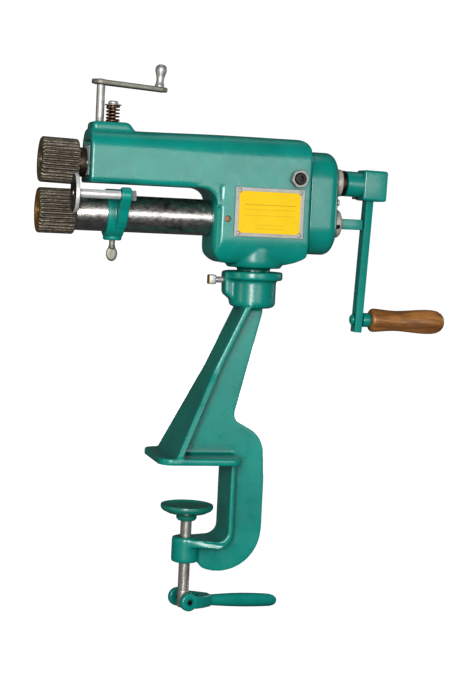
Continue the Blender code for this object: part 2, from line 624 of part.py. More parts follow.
tblock = box("trunnion_block", u(81.0), u(103.2), -12.6, 12.6, -13.5, 12.5, ASSEMBLY,
             "steel")
cut(tblock,
    rod("tblock_bore", (u(75), 0, 0), (u(110), 0, 0), 10.4),
    rod("tblock_pivot_a", (0, -16, 0), (0, -9.4, 0), 3.8, segments=12),
    rod("tblock_pivot_b", (0, 9.4, 0), (0, 16, 0), 3.8, segments=12))
rear_bush = ring("rear_bush", 9.8, 8.3, 21.6, (u(81.3), 0, 0), XAX)
upper_shaft = turned("upper_shaft",
                     [(0, u(185.0)), (6.8, u(185.0)), (R_SHAFT, u(184.0)), (R_SHAFT, u(-80.0)),
                      (7.0, u(-81.0)), (7.0, u(-156.0)), (0, u(-156.0))],
                     axis=XAX, finish="steel")
cut(upper_shaft, rod("upper_tap", (u(-165), 0, 0), (u(-141), 0, 0), 2.9, segments=10))
gear_loop = tooth_wheel(GEAR_TEETH, GEAR_TEETH * GEAR_MODULE / 2 - 2.5,
                        GEAR_TEETH * GEAR_MODULE / 2 + 2.0, 0.33, 0.12, -90.0)
upper_gear = outline("upper_gear", [gear_loop, circle(0, 0, R_SHAFT + GAP, 16)], GEAR_LEN,
                     plane_yz(u(X_GEAR)), ASSEMBLY, "steel")
roll_loop = tooth_wheel(ROLL_TEETH, R_ROLL - ROLL_TOOTH, R_ROLL, 0.5, 0.12, -90.0)
upper_roll = outline("upper_roll", [roll_loop, circle(0, 0, 7.0 + GAP, 16)], ROLL_LEN,
                     plane_yz(u(X_ROLL)), ASSEMBLY, "roll")
cut(upper_roll, rod("upper_recess", (u(-170), 0, 0), (u(-157.6), 0, 0), 11.0, segments=16))
upper_screw = turned("upper_roll_screw",
                     [(0, 50.2), (2.5, 50.2), (2.5, 66.3), (9.0, 66.3), (9.0, 67.6), (4.6, 67.6),
                      (4.6, 69.2), (0, 69.2)][::-1],
                     origin=(u(-92.0), 0, 0), axis=(-1, 0, 0), steps=16, finish="black")
thrust = ring("thrust_washer", 14.2, 7.4, 6.9, (u(-124.5), 0, 0), XAX, finish="bronze")
collar_u = ring("upper_collar", 13.8, R_SHAFT + GAP, 6.6, (u(136.3), 0, 0), XAX,
                finish="collar", chamfer=0.8)
a = math.radians(-72)
cdir = Vector((0, math.cos(a), math.sin(a)))
c0 = Vector((u(139.6), 0, 0))
cut(collar_u, rod("upper_collar_tap", c0 + cdir * 6, c0 + cdir * 20, 2.1, segments=10))
collar_screw_u = rod("upper_collar_screw", c0 + cdir * (R_SHAFT + GAP), c0 + cdir * 14.4, 1.8,
                     ASSEMBLY, "black", segments=10)
spacer = ring("spacer_ring", 12.9, R_SHAFT + GAP, 4.2, (u(143.2), 0, 0), XAX,
              finish="black", chamfer=0.6)

# crank: hub, square block and flat bar in one weldment
hub = turned("crank_arm", [(0, u(170.0)), (12.7, u(170.0)), (12.7, u(148.4)), (12.0, u(147.7)),
                           (0, u(147.7))], axis=XAX, steps=20, finish="green")
hub_block = box("crank_block", u(164.2), u(189.6), -13.5, 13.5, -15.6, 15.0, bevel=2.5,
                segments=1)
lean = math.radians(0.8)
bar_top = Vector((u(174.4), 0, -10.0))
bar_len = 139.0
bar = box("crank_bar", -3.9, 3.9, -6.9, 6.9, -bar_len, 0.0, bevel=0.8, segments=1)
bar.location = (bar_top + Vector((-math.sin(lean), 0, -math.cos(lean))) * bar_len / 2) * MM
bar.rotation_euler = (0, lean, 0)
join(hub, hub_block, bar)
GRIP_DROP = 136.4              # shaft axis to handle axis
x_grip = 174.4 - GRIP_DROP * math.tan(lean) + 0.2
cut(hub, rod("hub_bore", (u(140), 0, 0), (u(186), 0, 0), R_SHAFT + GAP, segments=16),
    rod("hub_tap", (u(159.5), 0, -20), (u(159.5), 0, -5), 2.7, segments=10))
hub_screw = rod("hub_set_screw", (u(159.5), 0, -R_SHAFT - GAP), (u(159.5), 0, -14.6), 2.4,
                ASSEMBLY, "black", segments=10)
grip_axis = axis_empty("grip_axis", (u(x_grip), 0, -GRIP_DROP), (0, math.radians(-TILT), 0),
                       parent=upper)
spindle_hole = rod("spindle_hole", (-10, 0, 0), (10, 0, 0), 3.9, segments=16)
cut(hub, spindle_hole)
spindle = turned("handle_spindle",
                 [(0, 84.0), (5.2, 84.0), (5.2, 82.0), (3.5, 82.0), (3.5, -4.6), (5.6, -4.6),
                  (5.6, -5.6), (3.8, -7.4), (0, -7.8)],
                 axis=XAX, steps=16, finish="green")
spindle_collar = ring("spindle_collar", 7.2, 3.8, 8.2, (4.9, 0, 0), XAX,
                      finish="green")
grip = turned("handle_grip",
              [(0, 94.0), (5.6, 92.8), (9.8, 89.0), (12.3, 80.5), (12.4, 72.0),
               (10.6, 47.0), (10.6, 38.0), (12.0, 18.0), (11.9, 15.0), (10.6, 13.5), (4.0, 13.5), (4.0, 81.4), (5.8, 81.4), (5.8, 84.6), (0, 84.6)],
              axis=XAX, steps=16, finish="wood")
attach(grip_axis, spindle, spindle_collar, grip, spindle_hole)
attach(upper, tblock, rear_bush, upper_shaft, upper_gear, upper_roll, upper_screw, thrust,
       collar_u, collar_screw_u, spacer, hub, hub_screw, hub_block, bar)
for name in ("tblock_bore", "tblock_pivot_a", "tblock_pivot_b", "upper_tap", "upper_recess",
             "upper_collar_tap", "hub_bore", "hub_tap"):
    bpy.data.objects[name].parent = upper

# ------------------------------------------------------- lower shaft line
ORG = (0, 0, Z_LOWER)
lower_shaft = turned("lower_shaft",
                     [(0, 143.6), (R_LOWER_SHAFT - 0.8, 143.6), (R_LOWER_SHAFT, 142.8),
                      (R_LOWER_SHAFT, -156.6), (0, -156.6)],
                     origin=ORG, axis=XAX, finish="steel")
cut(lower_shaft, rod("lower_tap", (-165, 0, Z_LOWER), (-141.6, 0, Z_LOWER), 2.9, segments=10),
    rod("square_socket", (127, 0, Z_LOWER), (150, 0, Z_LOWER), 4.4, segments=16))
step = 180.0 / GEAR_TEETH
gear_low = tooth_wheel(GEAR_TEETH, GEAR_TEETH * GEAR_MODULE / 2 - 2.5,
                       GEAR_TEETH * GEAR_MODULE / 2 + 2.0, 0.33, 0.12, 90.0 + step)
lower_gear = outline("lower_gear", [gear_low, circle(0, 0, R_LOWER_SHAFT + GAP, 16)], GEAR_LEN,
                     Matrix.Translation((0, 0, Z_LOWER * MM)) @ plane_yz(X_GEAR), ASSEMBLY,
                     "steel")
roll_low = tooth_wheel(ROLL_TEETH, R_ROLL - ROLL_TOOTH, R_ROLL, 0.5, 0.12,
                       90.0 + 180.0 / ROLL_TEETH)
lower_roll = outline("lower_roll", [roll_low, circle(0, 0, R_LOWER_SHAFT + GAP, 16)], ROLL_LEN - 0.3,
                     Matrix.Translation((0, 0, Z_LOWER * MM)) @ plane_yz(X_ROLL - 1.05),
                     ASSEMBLY, "roll")
cut(lower_roll, rod("lower_recess", (-172, 0, Z_LOWER), (-158.2, 0, Z_LOWER), 12.0, segments=16))
lower_screw = turned("lower_roll_screw",
                     [(0, 69.2), (4.6, 69.2), (4.6, 67.6), (10.0, 67.6), (10.0, 66.3),
                      (2.5, 66.3), (2.5, 50.2), (0, 50.2)],
                     origin=(-92.6, 0, Z_LOWER), axis=(-1, 0, 0), steps=16, finish="black")
ring("sleeve_bush", 13.1, R_LOWER_SHAFT + GAP, 22.0, (-122.0, 0, Z_LOWER), XAX)
ring("case_bush", 12.1, R_LOWER_SHAFT + GAP, 46.0, (57.5, 0, Z_LOWER), XAX)
collar_l = turned("lower_collar",
                  [(9.8, 8.4), (12.6, 8.0), (14.2, 6.2), (14.4, 4.0), (14.4, 0.0),
                   (R_LOWER_SHAFT + GAP, 0.0), (R_LOWER_SHAFT + GAP, 8.4)],
                  origin=(135.4, 0, Z_LOWER), axis=XAX, steps=16, finish="collar", closed=True)
a = math.radians(-168)
ldir = Vector((0, math.cos(a), math.sin(a)))
l0 = Vector((139.0, 0, Z_LOWER))
cut(collar_l, rod("lower_collar_tap", l0 + ldir * 6, l0 + ldir * 20, 2.5, segments=10))
rod("lower_collar_screw", l0 + ldir * (R_LOWER_SHAFT + GAP), l0 + ldir * 14.2, 2.2, ASSEMBLY,
    "black", segments=10)
square = box("adjusting_square", 144.2, 168.2, -5.3, 5.3, Z_LOWER - 5.3, Z_LOWER + 5.3, ASSEMBLY,
             "green", bevel=0.9, segments=1)
join(square, rod("square_spigot", (128.0, 0, Z_LOWER), (146.0, 0, Z_LOWER), 4.0, segments=16))

# --------------------------------------------------------------- the gauge
GZ, GY = 258.7, -38.0          # gauge rod axis
bracket = turned("gauge_bracket",
                 [(0, 17.5), (22.6, 17.5), (23.6, 16.5), (23.6, 1.0), (22.6, 0), (0, 0)],
                 (-96.0, 0, Z_LOWER), XAX, steps=24, finish="green")
foot_boss = turned("gauge_foot", [(0, 225.0), (9.6, 225.0), (9.2, 216.0), (8.0, 214.8), (0, 214.8)],
                   origin=(-87.2, 0, 0), coll=CUTTERS, steps=16)
web_loop = (arc(GY, GZ, 7.6, 7.6, 30, 215, 7)
            + [(-34.0, 244.0), (-27.6, 233.0), (-20.9, 226.4), (-13.3, 231.0), (-12.7, 250.2)])
arm = outline("gauge_lug", [web_loop], 9.3, plane_yz(-82.65))
join(bracket, foot_boss, arm)
cut(bracket,
    rod("gauge_bore", (-110, 0, Z_LOWER), (-60, 0, Z_LOWER), 18.3, segments=24),
    rod("gauge_rod_bore", (-95, GY, GZ), (-70, GY, GZ), 3.4, segments=16),
    rod("gauge_tap", (-87.2, 0, 205), (-87.2, 0, 231.3), 3.43, segments=10))
gauge_rod = turned("gauge_rod",
                   [(0, -74.5), (3.0, -74.5), (3.0, -88.4), (4.0, -88.4), (4.0, -129.0), (2.4, -129.3),
                    (2.4, -132.2), (0, -132.2)], origin=(0, GY, GZ), axis=XAX, steps=16,
                   finish="steel")
disc = turned("gauge_disc",
              [(2.7, -129.7), (18.0, -129.7), (18.8, -130.4), (18.8, -132.8), (18.0, -133.4), (2.7, -133.4)],
              origin=(0, GY, GZ), axis=XAX, steps=28, finish="steel", closed=True)
nut = rod("gauge_rod_nut", (-77.6, GY, GZ), (-73.4, GY, GZ), 5.6, ASSEMBLY, "zinc", segments=6)
cut(nut, rod("rod_nut_bore", (-82, GY, GZ), (-70, GY, GZ), 3.3, segments=12))
thumb = turned("gauge_thumb_screw",
               [(0, 222.6), (3.0, 222.6), (3.0, 208.6), (2.2, 207.0), (0, 207.0)],
               origin=(-87.2, 0, 0), steps=12, finish="zinc")
ear_loop = arc(-87.2, 201.6, 5.6, 7.4, 0, 360, 16)[:-1]
ear = outline("thumb_ear", [ear_loop], 3.0, plane_xz())
join(thumb, ear)
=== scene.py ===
"""Looks for the bench rotary machine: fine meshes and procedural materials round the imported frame.

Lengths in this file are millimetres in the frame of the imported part, multiplied by MM when they
reach Blender.  Every visible piece is rebuilt here as a fine mesh and rides on its CAD body.
"""
import math

import bmesh
import bpy
from mathutils import Matrix, Vector, noise


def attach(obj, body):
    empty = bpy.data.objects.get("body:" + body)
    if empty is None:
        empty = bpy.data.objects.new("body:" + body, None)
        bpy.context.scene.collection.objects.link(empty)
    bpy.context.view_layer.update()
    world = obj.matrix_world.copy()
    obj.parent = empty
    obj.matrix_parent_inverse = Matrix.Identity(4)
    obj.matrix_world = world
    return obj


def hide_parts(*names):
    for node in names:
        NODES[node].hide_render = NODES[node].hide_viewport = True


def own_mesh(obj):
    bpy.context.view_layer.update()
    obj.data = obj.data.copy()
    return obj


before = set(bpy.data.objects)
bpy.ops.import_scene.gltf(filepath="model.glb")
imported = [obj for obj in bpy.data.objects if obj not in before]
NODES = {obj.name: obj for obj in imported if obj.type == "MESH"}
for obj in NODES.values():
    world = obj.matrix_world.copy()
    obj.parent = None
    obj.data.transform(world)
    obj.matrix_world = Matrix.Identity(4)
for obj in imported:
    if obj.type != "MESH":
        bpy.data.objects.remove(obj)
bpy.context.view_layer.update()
MM = 0.001

# ------------------------------------------------------------------ constants
Z_LOWER, Z_UPPER, X_PIVOT, TILT = 241.0, 283.2, 90.7, 1.5
R_ROLL, ROLL_LEN, X_ROLL, ROLL_TEETH, ROLL_TOOTH = 22.2, 36.0, -142.9, 32, 1.8
X_POST, R_POST = 57.0, 16.5
WEB_HALF, SPINE_X = 5.5, 77.0
X_FEED, X_LIFT, Z_BOSS, Z_FEED_ARM = -104.3, -91.6, 329.0, 366.6
Z_PAD, Z_PIN, R_SCREW = -45.0, -142.3, 5.8
UP = (Matrix.Translation((X_PIVOT, 0, Z_UPPER))
      @ Matrix.Rotation(math.radians(TILT), 4, "Y"))        # upper shaft line
LOW = Matrix.Translation((0, 0, Z_LOWER))
ALONG_X = Matrix(((0, 0, 1, 0), (1, 0, 0, 0), (0, 1, 0, 0), (0, 0, 0, 1)))   # local (Y, Z, X)
IDENT = Matrix.Identity(4)


# ================================================================== materials
def new_material(name):
    mat = bpy.data.materials.new(name)
    mat.use_nodes = True
    tree = mat.node_tree
    return mat, tree, tree.nodes["Principled BSDF"]


def coords(tree, scale=(1, 1, 1), turn=(0, 0, 0)):
    tc = tree.nodes.new("ShaderNodeTexCoord")
    mp = tree.nodes.new("ShaderNodeMapping")
    mp.inputs["Scale"].default_value = scale
    mp.inputs["Rotation"].default_value = turn
    tree.links.new(tc.outputs["Object"], mp.inputs["Vector"])
    return mp.outputs["Vector"]


def noise_tex(tree, vec, scale, detail=4.0, rough=0.5, distortion=0.0):
    n = tree.nodes.new("ShaderNodeTexNoise")
    n.inputs["Scale"].default_value = scale
    n.inputs["Detail"].default_value = detail
    n.inputs["Roughness"].default_value = rough
    n.inputs["Distortion"].default_value = distortion
    tree.links.new(vec, n.inputs["Vector"])
    return n.outputs["Fac"]


def ramp(tree, fac, stops, interpolation="LINEAR"):
    r = tree.nodes.new("ShaderNodeValToRGB")
    r.color_ramp.interpolation = interpolation
    el = r.color_ramp.elements
    while len(el) < len(stops):
        el.new(0.5)
    for e, (pos, col) in zip(el, stops):
        e.position = pos
        e.color = (*col, 1.0) if len(col) == 3 else col
    tree.links.new(fac, r.inputs["Fac"])
    return r.outputs["Color"]


def grey(v):
    return (v, v, v)


def mix(tree, fac, a, b, blend="MIX"):
    m = tree.nodes.new("ShaderNodeMix")
    m.data_type = "RGBA"
    m.blend_type = blend
    for sock, val in ((m.inputs[0], fac), (m.inputs[6], a), (m.inputs[7], b)):
        if isinstance(val, (int, float)):
            sock.default_value = val
        elif isinstance(val, tuple):
            sock.default_value = (*val, 1.0)
        else:
            tree.links.new(val, sock)
    return m.outputs[2]


def maths(tree, op, a, b=0.0, c=0.0, clamp=False):
    m = tree.nodes.new("ShaderNodeMath")
    m.operation = op
    m.use_clamp = clamp
    for sock, val in zip(m.inputs, (a, b, c)):
        if isinstance(val, (int, float)):
            sock.default_value = val
        else:
            tree.links.new(val, sock)
    return m.outputs[0]


def bump(tree, bsdf, height, strength, distance, normal=None):
    b = tree.nodes.new("ShaderNodeBump")
    b.inputs["Strength"].default_value = strength
    b.inputs["Distance"].default_value = distance
    tree.links.new(height, b.inputs["Height"])
    if normal is not None:
        tree.links.new(normal, b.inputs["Normal"])
    tree.links.new(b.outputs["Normal"], bsdf.inputs["Normal"])
    return b.outputs["Normal"]


def curvature(tree):
    g = tree.nodes.new("ShaderNodeNewGeometry")
    return g.outputs["Pointiness"]


def enamel(name, base=(0.0, 0.262, 0.215), rough=0.27, grain=1.0):
    """Gloss enamel over a cast iron skin: soft unevenness, painted shade in hollows and close to other
    surfaces, thin on edges.
    """
    mat, tree, bsdf = new_material(name)
    vec = coords(tree)
    broad = noise_tex(tree, vec, 22.0, 3.0, 0.5)
    fine = noise_tex(tree, vec, 420.0, 5.0, 0.6)
    cast = noise_tex(tree, vec, 130.0, 4.0, 0.55, 0.2)
    dark = tuple(c * 0.80 for c in base)
    light = tuple(min(1.0, c * 1.08) for c in base)
    col = mix(tree, ramp(tree, broad, [(0.30, grey(0.0)), (0.72, grey(1.0))]), dark, light)
    speck = ramp(tree, fine, [(0.30, grey(1.0)), (0.36, grey(0.0))])
    col = mix(tree, maths(tree, "MULTIPLY", speck, 0.25), col, tuple(c * 0.45 for c in base))
    # painted shade: concave creases and fillets are darkened where shade falls
    hollow = ramp(tree, curvature(tree), [(0.40, grey(1.0)), (0.495, grey(0.0))])
    col = mix(tree, maths(tree, "MULTIPLY", hollow, 0.55), col, tuple(c * 0.35 for c in base))
    # painted shade: ambient occlusion darkens the colour close to other surfaces, towards a near-black green
    ao = tree.nodes.new("ShaderNodeAmbientOcclusion")
    ao.samples = 6
    ao.inputs["Distance"].default_value = 0.016
    painted_ao_shade = ramp(tree, ao.outputs["AO"], [(0.45, grey(0.85)), (0.92, grey(0.0))])
    col = mix(tree, painted_ao_shade, col, tuple(c * 0.22 for c in base))
    edge = ramp(tree, curvature(tree), [(0.56, grey(0.0)), (0.68, grey(1.0))])
    worn = maths(tree, "MULTIPLY", edge,
                 ramp(tree, noise_tex(tree, vec, 300.0, 4.0, 0.7),
                      [(0.52, grey(0.0)), (0.60, grey(1.0))]))
    col = mix(tree, maths(tree, "MULTIPLY", worn, 0.5), col,
              tuple(min(1.0, c * 1.3 + 0.03) for c in base))
    tree.links.new(col, bsdf.inputs["Base Color"])
    r = ramp(tree, noise_tex(tree, vec, 90.0, 5.0, 0.6),
             [(0.25, grey(rough * 0.8)), (0.8, grey(rough * 1.5))])
    tree.links.new(r, bsdf.inputs["Roughness"])
    bsdf.inputs["Coat Weight"].default_value = 0.25
    bsdf.inputs["Coat Roughness"].default_value = 0.2
    bsdf.inputs["IOR"].default_value = 1.5
    peel = noise_tex(tree, vec, 620.0, 3.0, 0.55)
    height = mix(tree, 0.45, mix(tree, 0.35, cast, fine), peel)
    bump(tree, bsdf, height, 0.34 * grain, 0.0007)
    return mat


def metal(name, base, rough, stretch=(1, 1, 1), scale=300.0, stain=(0.25, 0.18, 0.10),
          stain_amount=0.15, scratch=0.2, hollow_shade=0.0, metallic=1.0):
    """Machined steel: fine tool marks along one direction, with thin oily stains."""
    mat, tree, bsdf = new_material(name)
    vec = coords(tree, stretch)
    plain = coords(tree)
    marks = noise_tex(tree, vec, scale, 6.0, 0.65)
    blots = noise_tex(tree, plain, 60.0, 5.0, 0.6, 0.4)
    dark = tuple(c * 0.72 for c in base)
    col = mix(tree, ramp(tree, marks, [(0.32, grey(0.0)), (0.66, grey(1.0))]), dark, base)
    mask = ramp(tree, blots, [(0.52, grey(0.0)), (0.72, grey(1.0))])
    col = mix(tree, maths(tree, "MULTIPLY", mask, stain_amount * 2.0, clamp=True), col, stain)
    # painted shade: hollows such as thread roots are darkened where shade falls
    if hollow_shade:
        hollow = ramp(tree, curvature(tree), [(0.42, grey(1.0)), (0.50, grey(0.0))])
        col = mix(tree, maths(tree, "MULTIPLY", hollow, hollow_shade), col,
                  tuple(c * 0.2 for c in base))
    tree.links.new(col, bsdf.inputs["Base Color"])
    bsdf.inputs["Metallic"].default_value = metallic
    r = ramp(tree, marks, [(0.3, grey(rough * 0.75)), (0.75, grey(rough * 1.4))])
    r = mix(tree, maths(tree, "MULTIPLY", mask, 0.4), r, grey(min(1.0, rough * 2.2)))
    tree.links.new(r, bsdf.inputs["Roughness"])
    bump(tree, bsdf, marks, scratch, 0.0002)
    return mat


def roll_steel():
    """Oiled dark steel of the ribbed rolls: bright worn crests, black hollows."""
    mat, tree, bsdf = new_material("roll_steel")
    vec = coords(tree, (0.25, 1, 1))
    spots = noise_tex(tree, coords(tree), 520.0, 5.0, 0.65)
    marks = noise_tex(tree, vec, 700.0, 5.0, 0.6)
    broken = ramp(tree, noise_tex(tree, coords(tree, (0.45, 1, 1)), 330.0, 5.0, 0.7),
                  [(0.42, grey(0.12)), (0.60, grey(1.0))])
    crest = ramp(tree, curvature(tree), [(0.50, grey(0.0)), (0.585, grey(1.0))])
    crest = maths(tree, "MULTIPLY", crest, broken)
    shade = mix(tree, spots, (0.020, 0.015, 0.011), (0.15, 0.125, 0.095))
    bright = mix(tree, marks, (0.26, 0.22, 0.17), (0.70, 0.64, 0.54))
    col = mix(tree, crest, shade, bright)
    tree.links.new(col, bsdf.inputs["Base Color"])
    bsdf.inputs["Metallic"].default_value = 0.85
    r = ramp(tree, spots, [(0.3, grey(0.32)), (0.7, grey(0.6))])
    tree.links.new(r, bsdf.inputs["Roughness"])
    bump(tree, bsdf, mix(tree, 0.5, spots, marks), 0.7, 0.0005)
    return mat


def turned_wood():
    """Varnished wood turned along X: brown, with darker streaks along the grain."""
    mat, tree, bsdf = new_material("turned_wood")
    vec = coords(tree, (0.10, 1, 1))
    long = noise_tex(tree, vec, 110.0, 5.0, 0.6, 1.2)
    band = noise_tex(tree, coords(tree, (0.22, 1, 1)), 45.0, 2.0, 0.5, 0.6)
    pores = noise_tex(tree, coords(tree, (0.06, 1, 1)), 900.0, 3.0, 0.6)
    base = mix(tree, ramp(tree, band, [(0.42, grey(0.0)), (0.56, grey(1.0))]),
               (0.20, 0.066, 0.014), (0.42, 0.175, 0.045))
    col = mix(tree, ramp(tree, long, [(0.40, grey(0.0)), (0.62, grey(0.75))]), base,
              (0.085, 0.030, 0.012))
    col = mix(tree, ramp(tree, pores, [(0.60, grey(0.0)), (0.70, grey(0.5))]), col,
              (0.05, 0.02, 0.01))
    tree.links.new(col, bsdf.inputs["Base Color"])
    r = ramp(tree, long, [(0.3, grey(0.30)), (0.7, grey(0.45))])
    tree.links.new(r, bsdf.inputs["Roughness"])
    bsdf.inputs["Specular IOR Level"].default_value = 0.35
    bump(tree, bsdf, mix(tree, 0.5, long, pores), 0.25, 0.0004)
    return mat


def yellow_plate():
    """Printed yellow field with a few plain ruled lines and an empty box, and no lettering."""
    mat, tree, bsdf = new_material("plate_yellow")
    tc = tree.nodes.new("ShaderNodeTexCoord")
    sep = tree.nodes.new("ShaderNodeSeparateXYZ")
    tree.links.new(tc.outputs["Object"], sep.inputs["Vector"])
    x, z = sep.outputs["X"], sep.outputs["Z"]

    def inside(value, low, high):
        return maths(tree, "MULTIPLY", maths(tree, "GREATER_THAN", value, low * MM),
                     maths(tree, "LESS_THAN", value, high * MM))

    total = None
    for x0, x1, z0, z1 in ((36.5, 88.0, 255.6, 256.2), (36.5, 88.0, 251.2, 251.5),
                           (36.5, 62.0, 245.4, 245.7), (66.0, 88.0, 245.4, 245.7),
                           (48.0, 78.0, 236.0, 236.3), (48.0, 78.0, 232.6, 232.9)):
        one = maths(tree, "MULTIPLY", inside(x, x0, x1), inside(z, z0, z1))
        total = one if total is None else maths(tree, "MAXIMUM", total, one)
    soft = noise_tex(tree, coords(tree), 900.0, 4.0, 0.7)
    ink = maths(tree, "MULTIPLY", total,
                ramp(tree, soft, [(0.30, grey(0.25)), (0.60, grey(0.85))]))
    broad = noise_tex(tree, coords(tree), 35.0, 3.0, 0.5)
    col = mix(tree, broad, (0.86, 0.53, 0.002), (0.95, 0.64, 0.006))
    col = mix(tree, ink, col, (0.30, 0.17, 0.01))
    tree.links.new(col, bsdf.inputs["Base Color"])
    r = ramp(tree, soft, [(0.3, grey(0.45)), (0.7, grey(0.6))])
    tree.links.new(r, bsdf.inputs["Roughness"])
    bsdf.inputs["Specular IOR Level"].default_value = 0.18
    bump(tree, bsdf, soft, 0.06, 0.0002)
    return mat


GREEN = enamel("enamel_green")
GREEN_SMALL = enamel("enamel_small", grain=0.7)
PAD_GREEN = enamel("enamel_pad", base=(0.006, 0.20, 0.15), rough=0.28)
POLISHED = metal("polished_tube", (0.60, 0.58, 0.56), 0.28, (0.6, 1, 1), 300.0,
                 (0.035, 0.025, 0.018), 0.45, 0.9)
BRIGHT = metal("bright_rod", (0.93, 0.93, 0.95), 0.42, (0.15, 1, 1), 500.0, (0.5, 0.47, 0.42),
               0.08, 0.12, metallic=0.55)
SHAFT = metal("ground_shaft", (0.50, 0.48, 0.45), 0.3, (0.15, 1, 1), 500.0)
ZINC = metal("zinc_plate", (0.60, 0.61, 0.61), 0.42, (1, 1, 0.4), 350.0, (0.34, 0.32, 0.28),
             0.18, 0.2, metallic=0.75)
NUT = metal("nut_zinc", (0.42, 0.43, 0.42), 0.5, (1, 1, 1), 350.0, (0.20, 0.19, 0.16),
            0.2, 0.2, metallic=0.45)
DULL = metal("dull_zinc", (0.30, 0.295, 0.25), 0.46, (1, 1, 0.4), 350.0, (0.12, 0.11, 0.08),
             0.2, 0.25, metallic=0.7)
THREAD = metal("screw_steel", (0.66, 0.64, 0.61), 0.36, (1, 1, 1), 500.0, (0.30, 0.22, 0.15),
               0.2, 0.2, hollow_shade=0.6, metallic=0.85)
COLLAR = metal("collar_steel", (0.60, 0.54, 0.47), 0.48, (1, 1, 1), 260.0, (0.42, 0.34, 0.27),
               0.2, 0.25, metallic=0.35)
BLACK = metal("black_steel", (0.035, 0.033, 0.031), 0.38, (1, 1, 1), 400.0, (0.09, 0.07, 0.05),
              0.2, 0.3)
COPPER = metal("spring_wire", (0.30, 0.16, 0.10), 0.36, (1, 1, 1), 500.0, (0.06, 0.035, 0.03),
               0.3, 0.2)
WASHER = metal("oily_washer", (0.09, 0.065, 0.05), 0.42, (1, 1, 1), 300.0, (0.03, 0.02, 0.015),
               0.3, 0.3)
BLOCK = metal("block_steel", (0.62, 0.76, 0.72), 0.42, (1, 1, 0.3), 250.0, (0.10, 0.18, 0.16),
              0.3, 0.3, metallic=0.15)
GEAR = metal("gear_steel", (0.45, 0.44, 0.43), 0.35, (1, 1, 1), 300.0, (0.12, 0.09, 0.06), 0.3)
BRONZE = metal("bronze", (0.55, 0.34, 0.13), 0.3, (1, 1, 1), 300.0, (0.2, 0.11, 0.05), 0.3)
BRASSY = metal("brassy_zinc", (0.42, 0.27, 0.08), 0.4, (1, 1, 1), 300.0, (0.2, 0.12, 0.05), 0.3,
               metallic=0.7)
SILVER = metal("plate_border", (0.50, 0.50, 0.47), 0.5, (0.3, 1, 1), 400.0, (0.34, 0.33, 0.28),
               0.2, 0.15, metallic=0.3)
FACE_UP = metal("roll_face_olive", (0.23, 0.19, 0.11), 0.46, (1, 1, 1), 260.0,
                (0.10, 0.075, 0.04), 0.3, 0.4, metallic=0.8)
FACE_LOW = metal("roll_face_golden", (0.42, 0.22, 0.045), 0.44, (1, 1, 1), 260.0,
                 (0.17, 0.08, 0.02), 0.3, 0.4, metallic=0.8)
RED = metal("set_screw_red", (0.36, 0.15, 0.10), 0.5, (1, 1, 1), 400.0, (0.12, 0.07, 0.05), 0.3,
            metallic=0.4)
ROLL = roll_steel()
WOOD = turned_wood()
YELLOW = yellow_plate()


# =================================================================== geometry
def set_smooth(mesh, angle=38.0):
    mesh.shade_smooth()
    mesh.set_sharp_from_angle(angle=math.radians(angle))


def finish_mesh(bm, name, mat, angle=38.0, world=IDENT):
    """Turns a bmesh in millimetres into an object at the origin, in metres."""
    bm.transform(Matrix.Scale(MM, 4) @ world)
    bmesh.ops.recalc_face_normals(bm, faces=bm.faces)
    mesh = bpy.data.meshes.new(name)
    bm.to_mesh(mesh)
    bm.free()
    for m in (mat if isinstance(mat, (list, tuple)) else [mat]):
        mesh.materials.append(m)
    set_smooth(mesh, angle)
    obj = bpy.data.objects.new(name, mesh)
    bpy.context.scene.collection.objects.link(obj)
    return obj


def evaluated_copy(obj):
    """Replaces the object's mesh by what its modifiers make of it."""
    bpy.context.view_layer.update()
    graph = bpy.context.evaluated_depsgraph_get()
    mesh = bpy.data.meshes.new_from_object(obj.evaluated_get(graph))
    obj.modifiers.clear()
    old = obj.data
    obj.data = mesh
    mesh.name = obj.name
    if old.users == 0:
        bpy.data.meshes.remove(old)
    return obj


def boolean(obj, operation, *others):
    for other in others:
        mod = obj.modifiers.new("cut", "BOOLEAN")
        mod.operation = operation
        mod.solver = "EXACT"
        mod.object = other
        evaluated_copy(obj)
        bpy.data.objects.remove(other, do_unlink=True)
    return obj


def cut(obj, *others):
    return boolean(obj, "DIFFERENCE", *others)


def join(obj, *others):
    return boolean(obj, "UNION", *others)


def tidy(obj, angle=38.0, dist=0.00002):
    bm = bmesh.new()
    bm.from_mesh(obj.data)
    bmesh.ops.remove_doubles(bm, verts=bm.verts, dist=dist)
    bmesh.ops.dissolve_degenerate(bm, edges=bm.edges, dist=dist)
    bm.to_mesh(obj.data)
    bm.free()
    set_smooth(obj.data, angle)
    return obj


def cast(name, parts, mat, voxel=1.0, rounds=8, factor=0.5):
    """Melts overlapping solids into one casting with soft edges and small fillets."""
    bm = bmesh.new()
    for part in parts:
        bm.from_mesh(part.data)
        bpy.data.objects.remove(part, do_unlink=True)
    mesh = bpy.data.meshes.new(name)
    bm.to_mesh(mesh)
    bm.free()
    mesh.materials.append(mat)
    obj = bpy.data.objects.new(name, mesh)
    bpy.context.scene.collection.objects.link(obj)
    mod = obj.modifiers.new("melt", "REMESH")
    mod.mode = "VOXEL"
    mod.voxel_size = voxel * MM
    mod.use_smooth_shade = True
    mod = obj.modifiers.new("soften", "SMOOTH")
    mod.factor = factor
    mod.iterations = rounds
    evaluated_copy(obj)
    if not obj.data.materials:
        obj.data.materials.append(mat)
    obj.data.shade_smooth()
    return obj


def turn_to(direction):
    return Vector((0, 0, 1)).rotation_difference(Vector(direction)).to_matrix().to_4x4()


